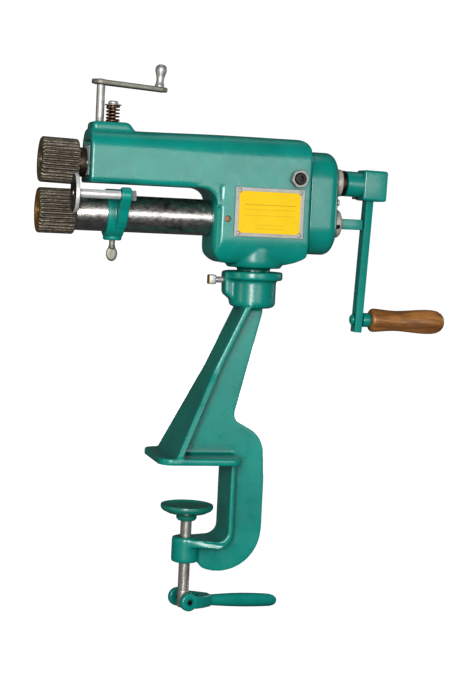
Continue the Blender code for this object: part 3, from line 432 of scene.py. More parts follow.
def soften(points, radius, steps=4, closed=False):
    """Rounds the corners of a profile; radius is one number or one per point."""
    n = len(points)
    out = []
    for i, p in enumerate(points):
        r = radius[i] if isinstance(radius, (list, tuple)) else radius
        if r <= 0 or (not closed and i in (0, n - 1)):
            out.append(tuple(p))
            continue
        p = Vector(p)
        a = Vector(points[i - 1]) - p
        b = Vector(points[(i + 1) % n]) - p
        la, lb = a.length, b.length
        if la < 1e-6 or lb < 1e-6:
            out.append(tuple(p))
            continue
        half = a.angle(b) / 2
        if half > math.radians(86):
            out.append(tuple(p))
            continue
        d = min(r / math.tan(half), 0.48 * la, 0.48 * lb)
        s, e = p + a / la * d, p + b / lb * d
        for k in range(steps + 1):
            t = k / steps
            out.append(tuple((1 - t) ** 2 * s + 2 * t * (1 - t) * p + t * t * e))
    return out


def lathe(name, profile, mat, origin=(0, 0, 0), axis=(0, 0, 1), steps=72, r=0.5, ring=False,
          angle=38.0, world=IDENT, arc_steps=3, faces=None):
    """A turned piece: (radius, height) points, soft corners, open ends on the axis.

    faces maps a test of (radius, height) to a material number.
    """
    pts = soften(profile, r, arc_steps, ring)
    bm = bmesh.new()
    rows = []
    for rad, h in pts:
        if rad < 1e-6:
            rows.append([bm.verts.new((0, 0, h))])
        else:
            rows.append([bm.verts.new((rad * math.cos(2 * math.pi * k / steps),
                                       rad * math.sin(2 * math.pi * k / steps), h))
                         for k in range(steps)])
    pairs = list(zip(rows, rows[1:], pts, pts[1:]))
    if ring:
        pairs.append((rows[-1], rows[0], pts[-1], pts[0]))
    for a, b, pa, pb in pairs:
        index = faces(((pa[0] + pb[0]) / 2, (pa[1] + pb[1]) / 2)) if faces else 0
        for k in range(steps):
            k2 = (k + 1) % steps
            if len(a) == 1 and len(b) == 1:
                break
            if len(a) == 1:
                f = bm.faces.new((a[0], b[k2], b[k]))
            elif len(b) == 1:
                f = bm.faces.new((a[k], a[k2], b[0]))
            else:
                f = bm.faces.new((a[k], a[k2], b[k2], b[k]))
            f.material_index = index
    place = Matrix.Translation(Vector(origin)) @ turn_to(axis)
    return finish_mesh(bm, name, mat, angle, world @ place)


def block(name, x0, x1, y0, y1, z0, z1, mat, r=1.0, steps=3, world=IDENT, angle=38.0):
    """A block with rounded edges."""
    bm = bmesh.new()
    bmesh.ops.create_cube(bm, size=1.0)
    for v in bm.verts:
        v.co = (x0 if v.co.x < 0 else x1, y0 if v.co.y < 0 else y1, z0 if v.co.z < 0 else z1)
    if r:
        bmesh.ops.bevel(bm, geom=list(bm.edges), offset=r, segments=steps, profile=0.5,
                        affect="EDGES")
    return finish_mesh(bm, name, mat, angle, world)


def prism(name, loop, thickness, world, mat, r=0.0, steps=3, limit=35.0, ends="both",
          angle=38.0):
    """A flat outline, thick both ways about its plane, with rounded rims."""
    bm = bmesh.new()
    base = bm.faces.new([bm.verts.new((a, b, -thickness / 2)) for a, b in loop])
    grown = bmesh.ops.extrude_face_region(bm, geom=[base])
    for v in grown["geom"]:
        if isinstance(v, bmesh.types.BMVert):
            v.co.z = thickness / 2
    bmesh.ops.recalc_face_normals(bm, faces=bm.faces)
    if r:
        picked = []
        for e in bm.edges:
            if len(e.link_faces) == 2 and e.calc_face_angle(0) > math.radians(limit):
                z = [v.co.z for v in e.verts]
                if ends == "top" and min(z) < 0:
                    continue
                if ends == "bottom" and max(z) > 0:
                    continue
                picked.append(e)
        bmesh.ops.bevel(bm, geom=picked, offset=r, segments=steps, profile=0.5,
                        affect="EDGES", clamp_overlap=True)
    return finish_mesh(bm, name, mat, angle, world)


def rod(name, start, end, r, mat=None, steps=48, r_end=None, world=IDENT):
    start, end = Vector(start), Vector(end)
    length = (end - start).length
    return lathe(name, [(0, 0), (r, 0), (r if r_end is None else r_end, length), (0, length)],
                 mat or GREEN, start, end - start, steps, 0, world=world)


def plane_xz(y=0.0):
    return Matrix.Translation((0, y, 0)) @ Matrix.Rotation(math.pi / 2, 4, "X")


def plane_yz(x=0.0):
    return Matrix.Translation((x, 0, 0)) @ ALONG_X


def plane_xy(z=0.0):
    return Matrix.Translation((0, 0, z))


def arc(cx, cy, rx, ry, a0, a1, n):
    out = []
    for i in range(n + 1):
        a = math.radians(a0 + (a1 - a0) * i / n)
        out.append((cx + rx * math.cos(a), cy + ry * math.sin(a)))
    return out


def ride(obj, body, slot=None, *nodes):
    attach(obj, body)
    if nodes:
        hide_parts(*nodes)
    return obj


def threaded(name, r, depth, pitch, z0, z1, mat, extra_low=(), extra_high=(), steps=48,
             per_pitch=6, world=IDENT):
    """A round bar along Z with a helical thread between z0 and z1, plain ends outside it.

    extra_low and extra_high are (radius, z) points below z0 and above z1, in rising order.
    """
    rows = [(rr, z, 0.0) for rr, z in extra_low]
    count = int((z1 - z0) / pitch * per_pitch)
    for i in range(count + 1):
        z = z0 + (z1 - z0) * i / count
        fade = min(1.0, (z - z0) / (pitch * 1.2), (z1 - z) / (pitch * 1.2))
        rows.append((r, z, max(0.0, fade)))
    rows += [(rr, z, 0.0) for rr, z in extra_high]
    bm = bmesh.new()
    rings = []
    for rad, z, fade in rows:
        if rad < 1e-6:
            rings.append([bm.verts.new((0, 0, z))])
            continue
        ring = []
        for k in range(steps):
            a = 2 * math.pi * k / steps
            t = (z / pitch - k / steps) % 1.0
            dip = 1.0 - abs(2.0 * t - 1.0)
            dip = min(1.0, max(0.0, dip * 1.5 - 0.2))
            rr = rad - depth * fade * dip
            ring.append(bm.verts.new((rr * math.cos(a), rr * math.sin(a), z)))
        rings.append(ring)
    for a, b in zip(rings, rings[1:]):
        for k in range(steps):
            k2 = (k + 1) % steps
            if len(a) == 1:
                bm.faces.new((a[0], b[k2], b[k]))
            elif len(b) == 1:
                bm.faces.new((a[k], a[k2], b[0]))
            else:
                bm.faces.new((a[k], a[k2], b[k2], b[k]))
    return finish_mesh(bm, name, mat, 50.0, world)


# ===================================================================== STAND
def strut_x(z):
    return 42.0 - 0.458 * (149.0 - z)


def strut_half(z):
    """Half width of the strut: parallel above, flaring smoothly to the foot."""
    t = max(0.0, min(1.0, (104.0 - z) / 24.0))
    ease = t * t * (3 - 2 * t) if z > 80 else 1.0
    return 23.0 + (93.0 - z) * 0.247 * ease if z < 93.0 else 23.0 + max(0.0, 93.0 - z)


web = [(46.0, 155.0), (66.9, 155.0), (67.4, 149.2), (54.9, 96.3), (43.7, 49.0)]
web += arc(52.5, 46.0, 8.8, 9.0, 178, 238, 10)
web += [(52.0, 36.3)]
web += arc(49.0, 6.0, 26.3, 28.5, 66, 4, 16)
web += [(SPINE_X, -20.0), (SPINE_X, -68.0)]
web += arc(33.5, -69.5, 43.2, 43.3, -6, -112, 32)
web += [(12.6, -104.0)]
web += arc(14.0, -99.0, 6.0, 6.0, 230, 170, 4)
web += [(8.4, -84.0), (28.0, -83.0), (37.0, -78.0), (40.5, -68.0), (40.5, 3.0),
        (strut_x(3.0) + 4.0, 3.0), (strut_x(155.0) + 4.0, 155.0)]
parts = [prism("web", web, 2 * WEB_HALF, plane_xz(), GREEN)]
plate_loop = (arc(-39 + 14, -45 + 14, 14, 14, 180, 270, 12)
              + arc(44 - 10, -45 + 10, 10, 10, 270, 360, 8)
              + arc(44 - 10, 45 - 10, 10, 10, 0, 90, 8)
              + arc(-39 + 14, 45 - 14, 14, 14, 90, 180, 12))
parts.append(prism("foot", plate_loop, 6.5, plane_xy(3.25), GREEN))

bm = bmesh.new()
levels = [2.0, 15.0, 30.0, 45.0, 60.0, 72.0, 80.0, 86.0, 92.0, 98.0, 104.0, 112.0, 130.0, 156.2]
rows = []
for z in levels:
    x, h = strut_x(z), strut_half(z)
    rows.append([bm.verts.new(c) for c in ((x, -h, z), (x + 7.1, -h, z), (x + 7.1, h, z),
                                           (x, h, z))])
for a, b in zip(rows, rows[1:]):
    for k in range(4):
        bm.faces.new((a[k], a[(k + 1) % 4], b[(k + 1) % 4], b[k]))
bm.faces.new(rows[0])
bm.faces.new(rows[-1])
parts.append(finish_mesh(bm, "strut", GREEN))

# inner flange of the C, narrowing towards the jaw
inner = [(37.3, 2.5), (42.3, 2.5), (42.3, -68.0)]
inner += arc(27.0, -71.0, 15.3, 15.3, 0, -90, 14)
inner += [(22.0, -86.5), (16.0, -86.8), (11.0, -87.0), (6.0, -87.2), (-2.0, -87.2), (-2.0, -79.0),
          (6.0, -79.0), (11.0, -79.2), (16.0, -79.4), (20.0, -79.5), (24.5, -79.6)]
inner += arc(26.0, -68.3, 11.3, 11.3, -90, 0, 12)
flange = prism("inner", inner, 52.0, plane_xz(), GREEN)
for v in flange.data.vertices:
    x = v.co.x / MM
    if x < 30.0:
        share = max(0.0, min(1.0, x / 30.0))
        v.co.y *= (12.9 + 13.1 * share ** 0.8) / 26.0
parts.append(flange)
parts.append(lathe("jaw", [(0, -78.0), (13.7, -78.0), (13.7, -103.6), (0, -103.6)], GREEN,
                   r=2.2))
parts.append(lathe("socket", [(0, 190), (29.5, 190), (29.5, 181.8), (23.4, 181.2), (23.4, 158.0),
                              (21.8, 155.2), (17.5, 153.5), (0, 153.5)], GREEN,
                   (X_POST, 0, 0), r=[0, 1.2, 1.2, 1.2, 4, 2, 2, 0]))
parts.append(prism("lug", [(25.8, 189.6), (38.0, 189.6), (38.0, 160.0), (33.6, 161.6),
                           (26.6, 167.2)], 18.0, plane_xz(), GREEN, 2.4, 4))
stand = cast("stand_shell", parts, GREEN, 1.05, 7)
cut(stand,
    lathe("c1", [(0, 157), (16.8, 157), (16.8, 200), (0, 200)], BLACK, (X_POST, 0, 0), r=0),
    rod("c2", (14.0, 0, 180.4), (46.3, 0, 180.4), 3.5, BLACK, 32),
    rod("c3", (0, 0, -120.0), (0, 0, -60.0), 6.15, BLACK, 48))
set_smooth(stand.data, 55)
ride(stand, "stand", "enamel", "stand_casting")

# lock bolt with a square head and a rolled thread
bolt_frame = Matrix.Translation((0, 0, 180.4)) @ turn_to((1, 0, 0))
bolt = threaded("lock_bolt_shank", 3.2, 0.28, 1.0, 18.0, 38.6, ZINC, [(0, 16.0), (3.0, 16.0)],
                [(2.4, 40.1), (0, 40.1)], 32, 6, bolt_frame)
ride(bolt, "lock_bolt", "zinc_plate", "head_lock_bolt")
head_sq = block("lock_bolt_head", 10.8, 18.2, -4.7, 4.7, 175.7, 185.1, [ZINC, BRASSY], 1.0, 3)
for f in head_sq.data.polygons:
    if f.center.x < 12.6 * MM:
        f.material_index = 1
ride(head_sq, "lock_bolt", "zinc_plate")
washer_face = rod("lock_bolt_face", (18.0, 0, 180.4), (18.8, 0, 180.4), 4.2, ZINC, 36)
ride(washer_face, "lock_bolt", "zinc_plate")

# ===================================================================== CLAMP
pad = lathe("clamp_pad_disc",
            [(0, Z_PAD - 2.6), (14.0, Z_PAD - 2.5), (21.5, Z_PAD - 1.8), (24.6, Z_PAD - 0.1),
             (26.3, Z_PAD - 0.6), (26.5, Z_PAD - 3.6), (25.0, Z_PAD - 6.0), (19.5, Z_PAD - 8.8),
             (11.4, Z_PAD - 10.3), (10.3, Z_PAD - 11.6), (10.3, Z_PAD - 14.4),
             (8.4, Z_PAD - 16.6), (6.1, Z_PAD - 16.6), (6.1, Z_PAD - 9.0), (0, Z_PAD - 9.0)],
            PAD_GREEN, steps=96, r=[0, 2, 2, 1.2, 0.9, 1.2, 2, 3, 1.4, 1.0, 1.2, 0.5, 0.3, 0.3, 0],
            arc_steps=4)
ride(pad, "clamp_pad", "enamel", "clamp_pad")

screw = threaded("clamp_screw_bar", R_SCREW, 0.45, 1.5, -134.0, -56.0, THREAD,
                 [(0, -150.4), (3.4, -150.4), (4.6, -150.0), (5.4, -149.2), (R_SCREW, -148.0),
                  (R_SCREW, -134.5)],
                 [(4.8, -53.6), (0, -53.5)], 56, 6)
yaw = math.radians(14.0)
along = Vector((math.cos(yaw), math.sin(yaw), 0.0))
across = Vector((-math.sin(yaw), math.cos(yaw), 0.0))
pin_mid = Vector((0, 0, Z_PIN))
cut(screw, rod("c", pin_mid - across * 20, pin_mid + across * 20, 2.75, BLACK, 32))
ride(screw, "clamp_screw", "polished_steel", "clamp_screw")
pin = lathe("lever_pin", [(0, -16.4), (2.5, -16.4), (2.5, 16.4), (0, 16.4)], BLACK, pin_mid,
            across, 36, 0.5)
ride(pin, "clamp_screw", "polished_steel", "handle_pin")

# forked lever: round eye bosses joined by a bridge that runs into an oval grip
LEVER = (Matrix.Translation((0, 0, Z_PIN)) @ Matrix.Rotation(yaw, 4, "Z")
         @ Matrix.Rotation(math.radians(4.5), 4, "Y"))
parts = []
for s in (-1, 1):
    parts.append(lathe("eye", [(0, 0), (9.2, 0), (9.2, 5.2), (8.4, 6.8), (0, 6.8)], GREEN,
                       (0, s * 9.9, 0), (0, s, 0), 64, [0, 0.8, 1.0, 1.4, 0], world=LEVER))
    side = [(0.0, 9.9), (8.0, 9.9), (13.5, 6.2), (18.5, 0.0), (30.0, 0.0), (31.0, 4.6),
            (25.0, 8.4), (17.0, 13.0), (9.0, 16.2), (0.0, 16.4)]
    side = [(a, s * b) for a, b in side]
    parts.append(prism("cheek", side, 12.6, LEVER @ plane_xy(-0.2), GREEN, 1.2, 2))
bm = bmesh.new()
spine = [(16.0, 4.6, 5.9, -0.6), (22.0, 4.5, 5.3, -0.5), (30.0, 4.6, 5.4, -0.5),
         (42.0, 4.9, 6.1, -0.3), (56.0, 5.1, 6.8, -0.1), (70.0, 5.0, 7.1, 0.0),
         (84.0, 4.7, 7.0, 0.0), (95.0, 4.4, 6.7, 0.0), (101.0, 4.2, 6.3, -0.1),
         (105.0, 3.8, 5.4, -0.2), (108.0, 2.8, 3.8, -0.3), (109.4, 1.4, 1.8, -0.3)]
n = 28
rows = []
for x, hy, hz, cz in spine:
    ring = []
    for k in range(n):
        a = 2 * math.pi * k / n
        c, s = math.cos(a), math.sin(a)
        ring.append(bm.verts.new((x, hy * math.copysign(abs(c) ** 0.75, c),
                                  cz + hz * math.copysign(abs(s) ** 0.75, s))))
    rows.append(ring)
for a, b in zip(rows, rows[1:]):
    for k in range(n):
        bm.faces.new((a[k], a[(k + 1) % n], b[(k + 1) % n], b[k]))
bm.faces.new(rows[0])
bm.faces.new(rows[-1])
parts.append(finish_mesh(bm, "lever_grip", GREEN, world=LEVER))
lever = cast("clamp_lever", parts, GREEN_SMALL, 0.62, 5)
cut(lever, rod("c", (0, -25, 0), (0, 25, 0), 2.65, BLACK, 32, world=LEVER),
    lathe("c", [(0, 15.6), (4.0, 15.6), (4.2, 20.0), (0, 20.0)], BLACK, (0, 0, 0), (0, -1, 0),
          40, 0, world=LEVER))
set_smooth(lever.data, 55)
ride(lever, "clamp_handle", "enamel", "clamp_handle")

# ====================================================================== HEAD
ARM_X0, ARM_X1, ARM_HALF, ARM_Z0, ARM_Z1 = -115.5, 40.0, 28.5, 269.5, 321.0
HX0, HX1, HH, HZ0, HZ1 = 8.0, 104.0, 30.5, 197.5, 322.0


def arm_section(t):
    """Outline across the arm: t is 0 at its front and 1 inside the housing."""
    half, lr = ARM_HALF + (HH - 0.1 - ARM_HALF) * t, 5.2
    rx, z0, z1 = 19.0 + 2.0 * t, 303.5 - 2.5 * t, ARM_Z1 + (HZ1 + 0.3 - ARM_Z1) * t
    return (arc(half - lr, ARM_Z0 + lr, lr, lr, -90, 0, 8)
            + arc(half - rx, z0, rx, z1 - z0, 0, 90, 18)
            + arc(-half + rx, z0, rx, z1 - z0, 90, 180, 18)
            + arc(-half + lr, ARM_Z0 + lr, lr, lr, 180, 270, 8))


bm = bmesh.new()
rows = []
for x in (ARM_X0, -90.0, -60.0, -40.0, -20.0, 0.0, 15.0, 30.0, 60.0):
    share = max(0.0, min(1.0, (x + 80.0) / 105.0))
    rows.append([bm.verts.new((x, y, z)) for y, z in arm_section(share * share * (3 - 2 * share))])
for a, b in zip(rows, rows[1:]):
    for k in range(len(a)):
        bm.faces.new((a[k], a[(k + 1) % len(a)], b[(k + 1) % len(a)], b[k]))
bm.faces.new(rows[0])
bm.faces.new(rows[-1])
arm = finish_mesh(bm, "arm", GREEN)
side = [(HX0, 290.0)]
side += arc(HX0 + 15, HZ0 + 18, 15, 18, 180, 270, 14)
side += [(30.0, HZ0), (84.0, HZ0), (94.0, 200.5), (101.0, 204.0), (HX1, 206.6)]
side += arc(HX1 - 11.5, HZ1 - 11.5, 11.5, 11.5, 0, 90, 14)
side += [(20.0, HZ1), (HX0, 318.0)]
house = prism("house", side, 90.0, plane_xz(), GREEN)
front = (arc(HH - 17, 224.0, 17, 224.0 - HZ0 + 0.8, -90, 0, 18)
         + arc(HH - 21, 301.0, 21, HZ1 - 300.2, 0, 90, 18)
         + arc(-HH + 21, 301.0, 21, HZ1 - 300.2, 90, 180, 18)
         + arc(-HH + 17, 224.0, 17, 224.0 - HZ0 + 0.8, 180, 270, 18))
plan = ([(HX1 + 5, HH + 0.7)] + arc(HX0 + 12, HH - 12, 12.4, 12.7, 90, 180, 12)
        + arc(HX0 + 12, -HH + 12, 12.4, 12.7, 180, 270, 12) + [(HX1 + 5, -HH - 0.7)])
boolean(house, "INTERSECT", prism("f", front, 170.0, plane_yz(60.0), GREEN))
boolean(house, "INTERSECT", prism("p", plan, 210.0, plane_xy(260.0), GREEN))
boss_side = [(-113.5, 300.0), (-113.5, 326.5), (-111.5, 328.7), (-79.5, 328.7), (-76.2, 326.8),
             (-71.5, 320.6), (-66.0, 315.0), (-66.0, 300.0)]
boss = prism("boss", boss_side, 34.0, plane_xz(), GREEN, 4.5, 4, 50)
post = lathe("post", [(0, 212.0), (29.5, 212.0), (29.0, 199.0), (27.8, 195.5), (26.6, 193.6),
                      (16.5, 193.6), (16.5, 158.0), (0, 158.0)], GREEN, (X_POST, 0, 0),
             r=[0, 0, 2, 2, 0.8, 0.8, 1.5, 0])
# a small web of metal under the throat where the arm meets the housing
fillet = [(6.0, 276.0), (6.0, 269.0), (-6.0, 269.0)]
corner = [(12.0, 282.0), (-14.0, 270.4), (-7.0, 269.9), (-1.6, 268.9), (3.0, 266.9),
          (6.6, 263.4), (8.6, 258.6), (9.4, 252.0), (14.0, 252.0)]
web_corner = prism("corner", corner, 60.4, plane_xz(), GREEN, 5.4, 5, 60)
head = cast("head_shell", [arm, house, boss, post, web_corner], GREEN, 1.1, 7)
mouth = block("c", -130.0, -78.0, -17.0, 17.0, 271.7, 310.5, BLACK, 1.6, 3)
cut(head, mouth,
    block("c", -90.0, 78.0, -13.3, 13.3, 272.5, 306.0, BLACK, 1.0, 2),
    block("c", 74.0, 120.0, -13.7, 13.7, 266.5, 302.0, BLACK, 1.0, 2),
    rod("c", (-10, 0, Z_LOWER), (50.6, 0, Z_LOWER), 18.15, BLACK, 96),
    rod("c", (40, 0, Z_LOWER), (120, 0, Z_LOWER), 12.4, BLACK, 64),
    rod("c", (X_PIVOT, -40, Z_UPPER), (X_PIVOT, -5, Z_UPPER), 6.0, BLACK, 48),
    rod("c", (X_PIVOT, 5, Z_UPPER), (X_PIVOT, 40, Z_UPPER), 6.0, BLACK, 48),
    rod("c", (X_FEED, 0, 300), (X_FEED, 0, 340), 4.5, BLACK, 48),
    rod("c", (X_LIFT, 0, 300), (X_LIFT, 0, 340), 3.9, BLACK, 48),
    rod("c", (20.3, -40, Z_LOWER), (20.3, -10, Z_LOWER), 3.2, BLACK, 32))
set_smooth(head.data, 55)
ride(head, "head", "enamel", "head_casting")

# gear-case cover: a stadium shell with a broad rounded rear edge
mid = (209.0 + 311.3) / 2
end = (311.3 - 209.0) / 2 - 29.0
case = arc(0, mid + end, 29.0, 29.0, 0, 180, 40) + arc(0, mid - end, 29.0, 29.0, 180, 360, 40)
cover = prism("cover_shell", case, 30.4, plane_yz(104.4 + 15.2), GREEN, 9.5, 8, 60, "top")
bm = bmesh.new()
bm.from_mesh(cover.data)
front_rim = [e for e in bm.edges if all(abs(v.co.x - 0.1044) < 1e-5 for v in e.verts)
             and len(e.link_faces) == 2 and e.calc_face_angle(0) > 1.0]
bmesh.ops.bevel(bm, geom=front_rim, offset=0.0009, segments=3, profile=0.5, affect="EDGES")
bm.to_mesh(cover.data)
bm.free()
hollow = (arc(0, mid + end, 24.4, 24.4, 0, 180, 30) + arc(0, mid - end, 24.4, 24.4, 180, 360, 30))
cut(cover, prism("c", hollow, 50.0, plane_yz(104.8), BLACK),
    rod("c", (120, 0, 282.2), (150, 0, 282.2), 10.5, BLACK, 56),
    rod("c", (120, 0, Z_LOWER), (150, 0, Z_LOWER), 9.5, BLACK, 56),
    rod("c", (125, -16.5, 262.0), (145, -16.5, 262.0), 2.6, BLACK, 24),
    rod("c", (125, 16.5, 262.0), (145, 16.5, 262.0), 2.6, BLACK, 24))
set_smooth(cover.data, 40)
ride(cover, "head", "enamel", "gear_case_cover")
for i, sy in enumerate((-16.5, 16.5), 1):
    s = lathe("cover_screw_head_%d" % i,
              [(0, 138.0), (2.2, 138.0), (3.6, 136.8), (3.8, 135.3), (2.2, 135.3), (2.2, 92.0),
               (0, 92.0)], ZINC, (0, sy, 262.0), (1, 0, 0), 36, 0.4)
    cut(s, block("c", 137.1, 139.0, sy - 5, sy + 5, 261.55, 262.45, BLACK, 0))
    ride(s, "head", "blackened_steel", "cover_screw_%d" % i)

# sleeve of the lower shaft: a polished tube with an oil hole near its end
sleeve = lathe("sleeve_tube", [(17.9, -125.7), (17.9, 49.7), (13.4, 49.7), (13.4, -125.7)],
               POLISHED, (0, 0, Z_LOWER), (1, 0, 0), 128, [0.9, 0.6, 0.4, 0.6], ring=True)
hole = Vector((-112.5, -8.4, Z_LOWER + 15.8))
cut(sleeve, rod("c", hole + Vector((0, 3, -6)), hole + Vector((0, -3, 6)), 1.7, BLACK, 24))
set_smooth(sleeve.data, 40)
ride(sleeve, "head", "polished_steel", "lower_sleeve")
ss = lathe("sleeve_set_tip", [(0, 0), (2.8, 0), (2.8, 11.0), (0, 11.0)], RED,
           (20.3, -18.4, Z_LOWER), (0, -1, 0), 36, 0.5)
ride(ss, "head", "enamel", "sleeve_set_screw")

# name plate: a bright border round a yellow field, blank but for plain rules
bm = bmesh.new()
x0, x1, z0, z1 = 26.9, 97.0, 224.7, 272.4
yf, yb = -HH - 1.3, -HH - 0.3


def rect(xa, xb, za, zb, y):
    return [bm.verts.new(c) for c in ((xa, y, za), (xb, y, za), (xb, y, zb), (xa, y, zb))]


outer_back = rect(x0, x1, z0, z1, yb)
outer_low = rect(x0, x1, z0, z1, yf + 0.25)
outer = rect(x0 + 0.3, x1 - 0.3, z0 + 0.3, z1 - 0.3, yf)
inner_a = rect(x0 + 3.6, x1 - 3.6, z0 + 3.2, z1 - 3.2, yf)
inner_b = rect(x0 + 3.9, x1 - 3.9, z0 + 3.5, z1 - 3.5, yf + 0.18)
for a, b in ((outer_back, outer_low), (outer_low, outer), (outer, inner_a), (inner_a, inner_b)):
    for k in range(4):
        bm.faces.new((a[k], a[(k + 1) % 4], b[(k + 1) % 4], b[k]))
bm.faces.new(outer_back)
field = bm.faces.new(inner_b)
field.material_index = 1
plate = finish_mesh(bm, "rating_plate", [SILVER, YELLOW], 20)
ride(plate, "head", "plate_yellow", "name_plate")
for i, (px, pz) in enumerate(((31.0, 269.2), (92.9, 269.2), (31.0, 227.8), (92.9, 227.8)), 1):
    rv = lathe("plate_pin_%d" % i,
               [(0, 33.1), (1.3, 32.9), (2.4, 32.0), (2.4, 31.75), (1.1, 31.75), (1.1, 28.0),
                (0, 28.0)], SILVER, (px, 0, pz), (0, -1, 0), 28, 0.2)
    ride(rv, "head", "zinc_plate", "plate_rivet_%d" % i)

# trunnion screws with hexagon sockets, in hexagon lock nuts
for tag, s in (("front", -1), ("rear", 1)):
    hexa = [(8.9 * math.cos(math.radians(60 * k + 12)), 8.9 * math.sin(math.radians(60 * k + 12)))
            for k in range(6)]
    where = Matrix.Translation((X_PIVOT, s * 33.5, Z_UPPER)) @ turn_to((0, s, 0))
    nut = prism("lock_nut_" + tag, hexa, 5.2, where, NUT, 0.0)
    keep = lathe("c", [(0, -3.5), (9.8, -3.5), (9.8, 1.5), (8.1, 2.6), (8.1, 3.5), (0, 3.5)],
                 ZINC, (X_PIVOT, s * 33.5, Z_UPPER), (0, s, 0), 64, 0)
    boolean(nut, "INTERSECT", keep)
    cut(nut, lathe("c", [(0, -6), (5.95, -6), (5.95, 2.0), (6.7, 2.8), (6.7, 6), (0, 6)], BLACK,
                   (X_PIVOT, s * 33.5, Z_UPPER), (0, s, 0), 48, 0))
    tidy(nut, 25)
    ride(nut, "head", "zinc_plate", "trunnion_nut_" + tag)
    ts = lathe("trunnion_pin_" + tag,
               [(0, 37.2), (5.0, 37.2), (5.75, 36.3), (5.75, 14.0), (3.4, 13.2), (3.4, 9.8),
                (0, 9.8)], BLACK, (X_PIVOT, 0, Z_UPPER), (0, s, 0), 48, 0.25)
    sock = [(3.3 * math.cos(math.radians(60 * k)), 3.3 * math.sin(math.radians(60 * k)))
            for k in range(6)]
    cut(ts, prism("c", sock, 7.0, Matrix.Translation((X_PIVOT, s * 37.2, Z_UPPER))
                  @ turn_to((0, s, 0)), BLACK))
    tidy(ts, 30)
    ride(ts, "head", "blackened_steel", "trunnion_screw_" + tag)

# =============================================================== FRONT BLOCK
x_block = (-115.8 - 84.0) / 2
z_block = Z_UPPER + (X_PIVOT - x_block) * math.tan(math.radians(TILT))
fb = block("slide_block", -115.8, -84.0, -16.4, 16.4, 276.5, 305.2, BLOCK, 0.9, 3)
cut(fb, rod("c", (-121, 0, z_block), (-79, 0, z_block), 9.35, BLACK, 72),
    rod("c", (X_LIFT, 0, 299.0), (X_LIFT, 0, 315.0), 3.2, BLACK, 32))
set_smooth(fb.data, 35)
ride(fb, "front_block", "blackened_steel", "front_bearing_block")
bush = lathe("front_bush_ring", [(9.1, -115.3), (9.1, -84.5), (7.9, -84.5), (7.9, -115.3)],
             BRONZE, (0, 0, z_block), (1, 0, 0), 72, 0.2, ring=True)
ride(bush, "front_block", "bronze", "front_bush")
lift = threaded("lift_bolt_stem", 2.95, 0.25, 0.8, 303.0, 340.0, BLACK,
                [(0, 300.0), (2.5, 300.2)], [(2.9, 345.9), (0, 345.9)], 32, 6)
lift.data.transform(Matrix.Translation((X_LIFT * MM, 0, 0)))
ride(lift, "front_block", "spring_steel", "lift_bolt")
lift_head = lathe("lift_bolt_head", [(0, 346.2), (4.9, 346.2), (4.9, 348.2), (3.6, 349.3),
                                     (0, 349.4)], ZINC, (X_LIFT, 0, 0), steps=48, r=0.5)
cut(lift_head, block("c", X_LIFT - 6, X_LIFT + 6, -0.6, 0.6, 348.3, 350.0, BLACK, 0))
ride(lift_head, "front_block", "spring_steel")
lw = lathe("lift_washer_disc", [(8.1, 344.9), (8.1, 345.9), (3.25, 345.9), (3.25, 344.9)],
           DULL, (X_LIFT, 0, 0), steps=64, r=0.25, ring=True)
ride(lw, "front_block", "spring_steel", "lift_washer")

# coil spring under the washer, its end turns closed and ground
bm = bmesh.new()
wire, radius, turns, per = 0.85, 6.0, 5.6, 40
z_low, z_high = Z_BOSS + 0.35 + wire, 344.9 - 0.35 - wire
count = int(turns * per)
rings = []
for i in range(count + 1):
    t = i / count
    a = 2 * math.pi * turns * t
    ease = max(0.0, min(1.0, (t * turns - 0.7) / (turns - 1.4)))
    c = Vector((radius * math.cos(a), radius * math.sin(a), z_low + (z_high - z_low) * ease))
    radial = Vector((math.cos(a), math.sin(a), 0))
    rings.append([bm.verts.new(c + wire * (math.cos(b) * radial + math.sin(b) * Vector((0, 0, 1))))
                  for b in (2 * math.pi * k / 10 for k in range(10))])
for a, b in zip(rings, rings[1:]):
    for k in range(10):
        bm.faces.new((a[k], a[(k + 1) % 10], b[(k + 1) % 10], b[k]))
bm.faces.new(rings[0])
bm.faces.new(rings[-1])
spring = finish_mesh(bm, "lift_coil", COPPER, 50, Matrix.Translation((X_LIFT, 0, 0)))
ride(spring, "head", "spring_steel", "lift_spring")
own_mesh(spring)

# ============================================================ ADJUSTING SCREW
feed = threaded("feed_screw", 4.15, 0.22, 1.5, 309.0, 334.0, ZINC,
                [(0, 305.5), (3.0, 305.6), (4.0, 307.0)],
                [(4.15, 362.4), (3.9, 364.0), (0, 364.2)], 48, 6)
feed.data.transform(Matrix.Translation((X_FEED * MM, 0, 0)))
ride(feed, "adjusting_screw", "zinc_plate", "adjusting_screw")
FEED = (Matrix.Translation((X_FEED, 0, Z_FEED_ARM)) @ Matrix.Rotation(math.radians(3.5), 4, "Y"))
lever_plan = arc(0, 0, 9.2, 9.2, 82, 278, 28) + arc(58.5, 0, 7.2, 7.2, -82, 82, 20)
feed_arm = prism("feed_crank", lever_plan, 4.6, FEED, DULL, 1.2, 4)
cut(feed_arm, rod("c", (X_FEED, 0, 340.0), (X_FEED, 0, 364.5), 4.6, BLACK, 40))
peen = lathe("feed_peen", [(0, 2.2), (3.6, 2.2), (3.4, 3.0), (0, 3.4)], DULL, steps=36, r=0.4,
             world=FEED)
set_smooth(feed_arm.data, 35)
ride(feed_arm, "adjusting_screw", "zinc_plate", "screw_crank_arm")
ride(peen, "adjusting_screw", "zinc_plate")
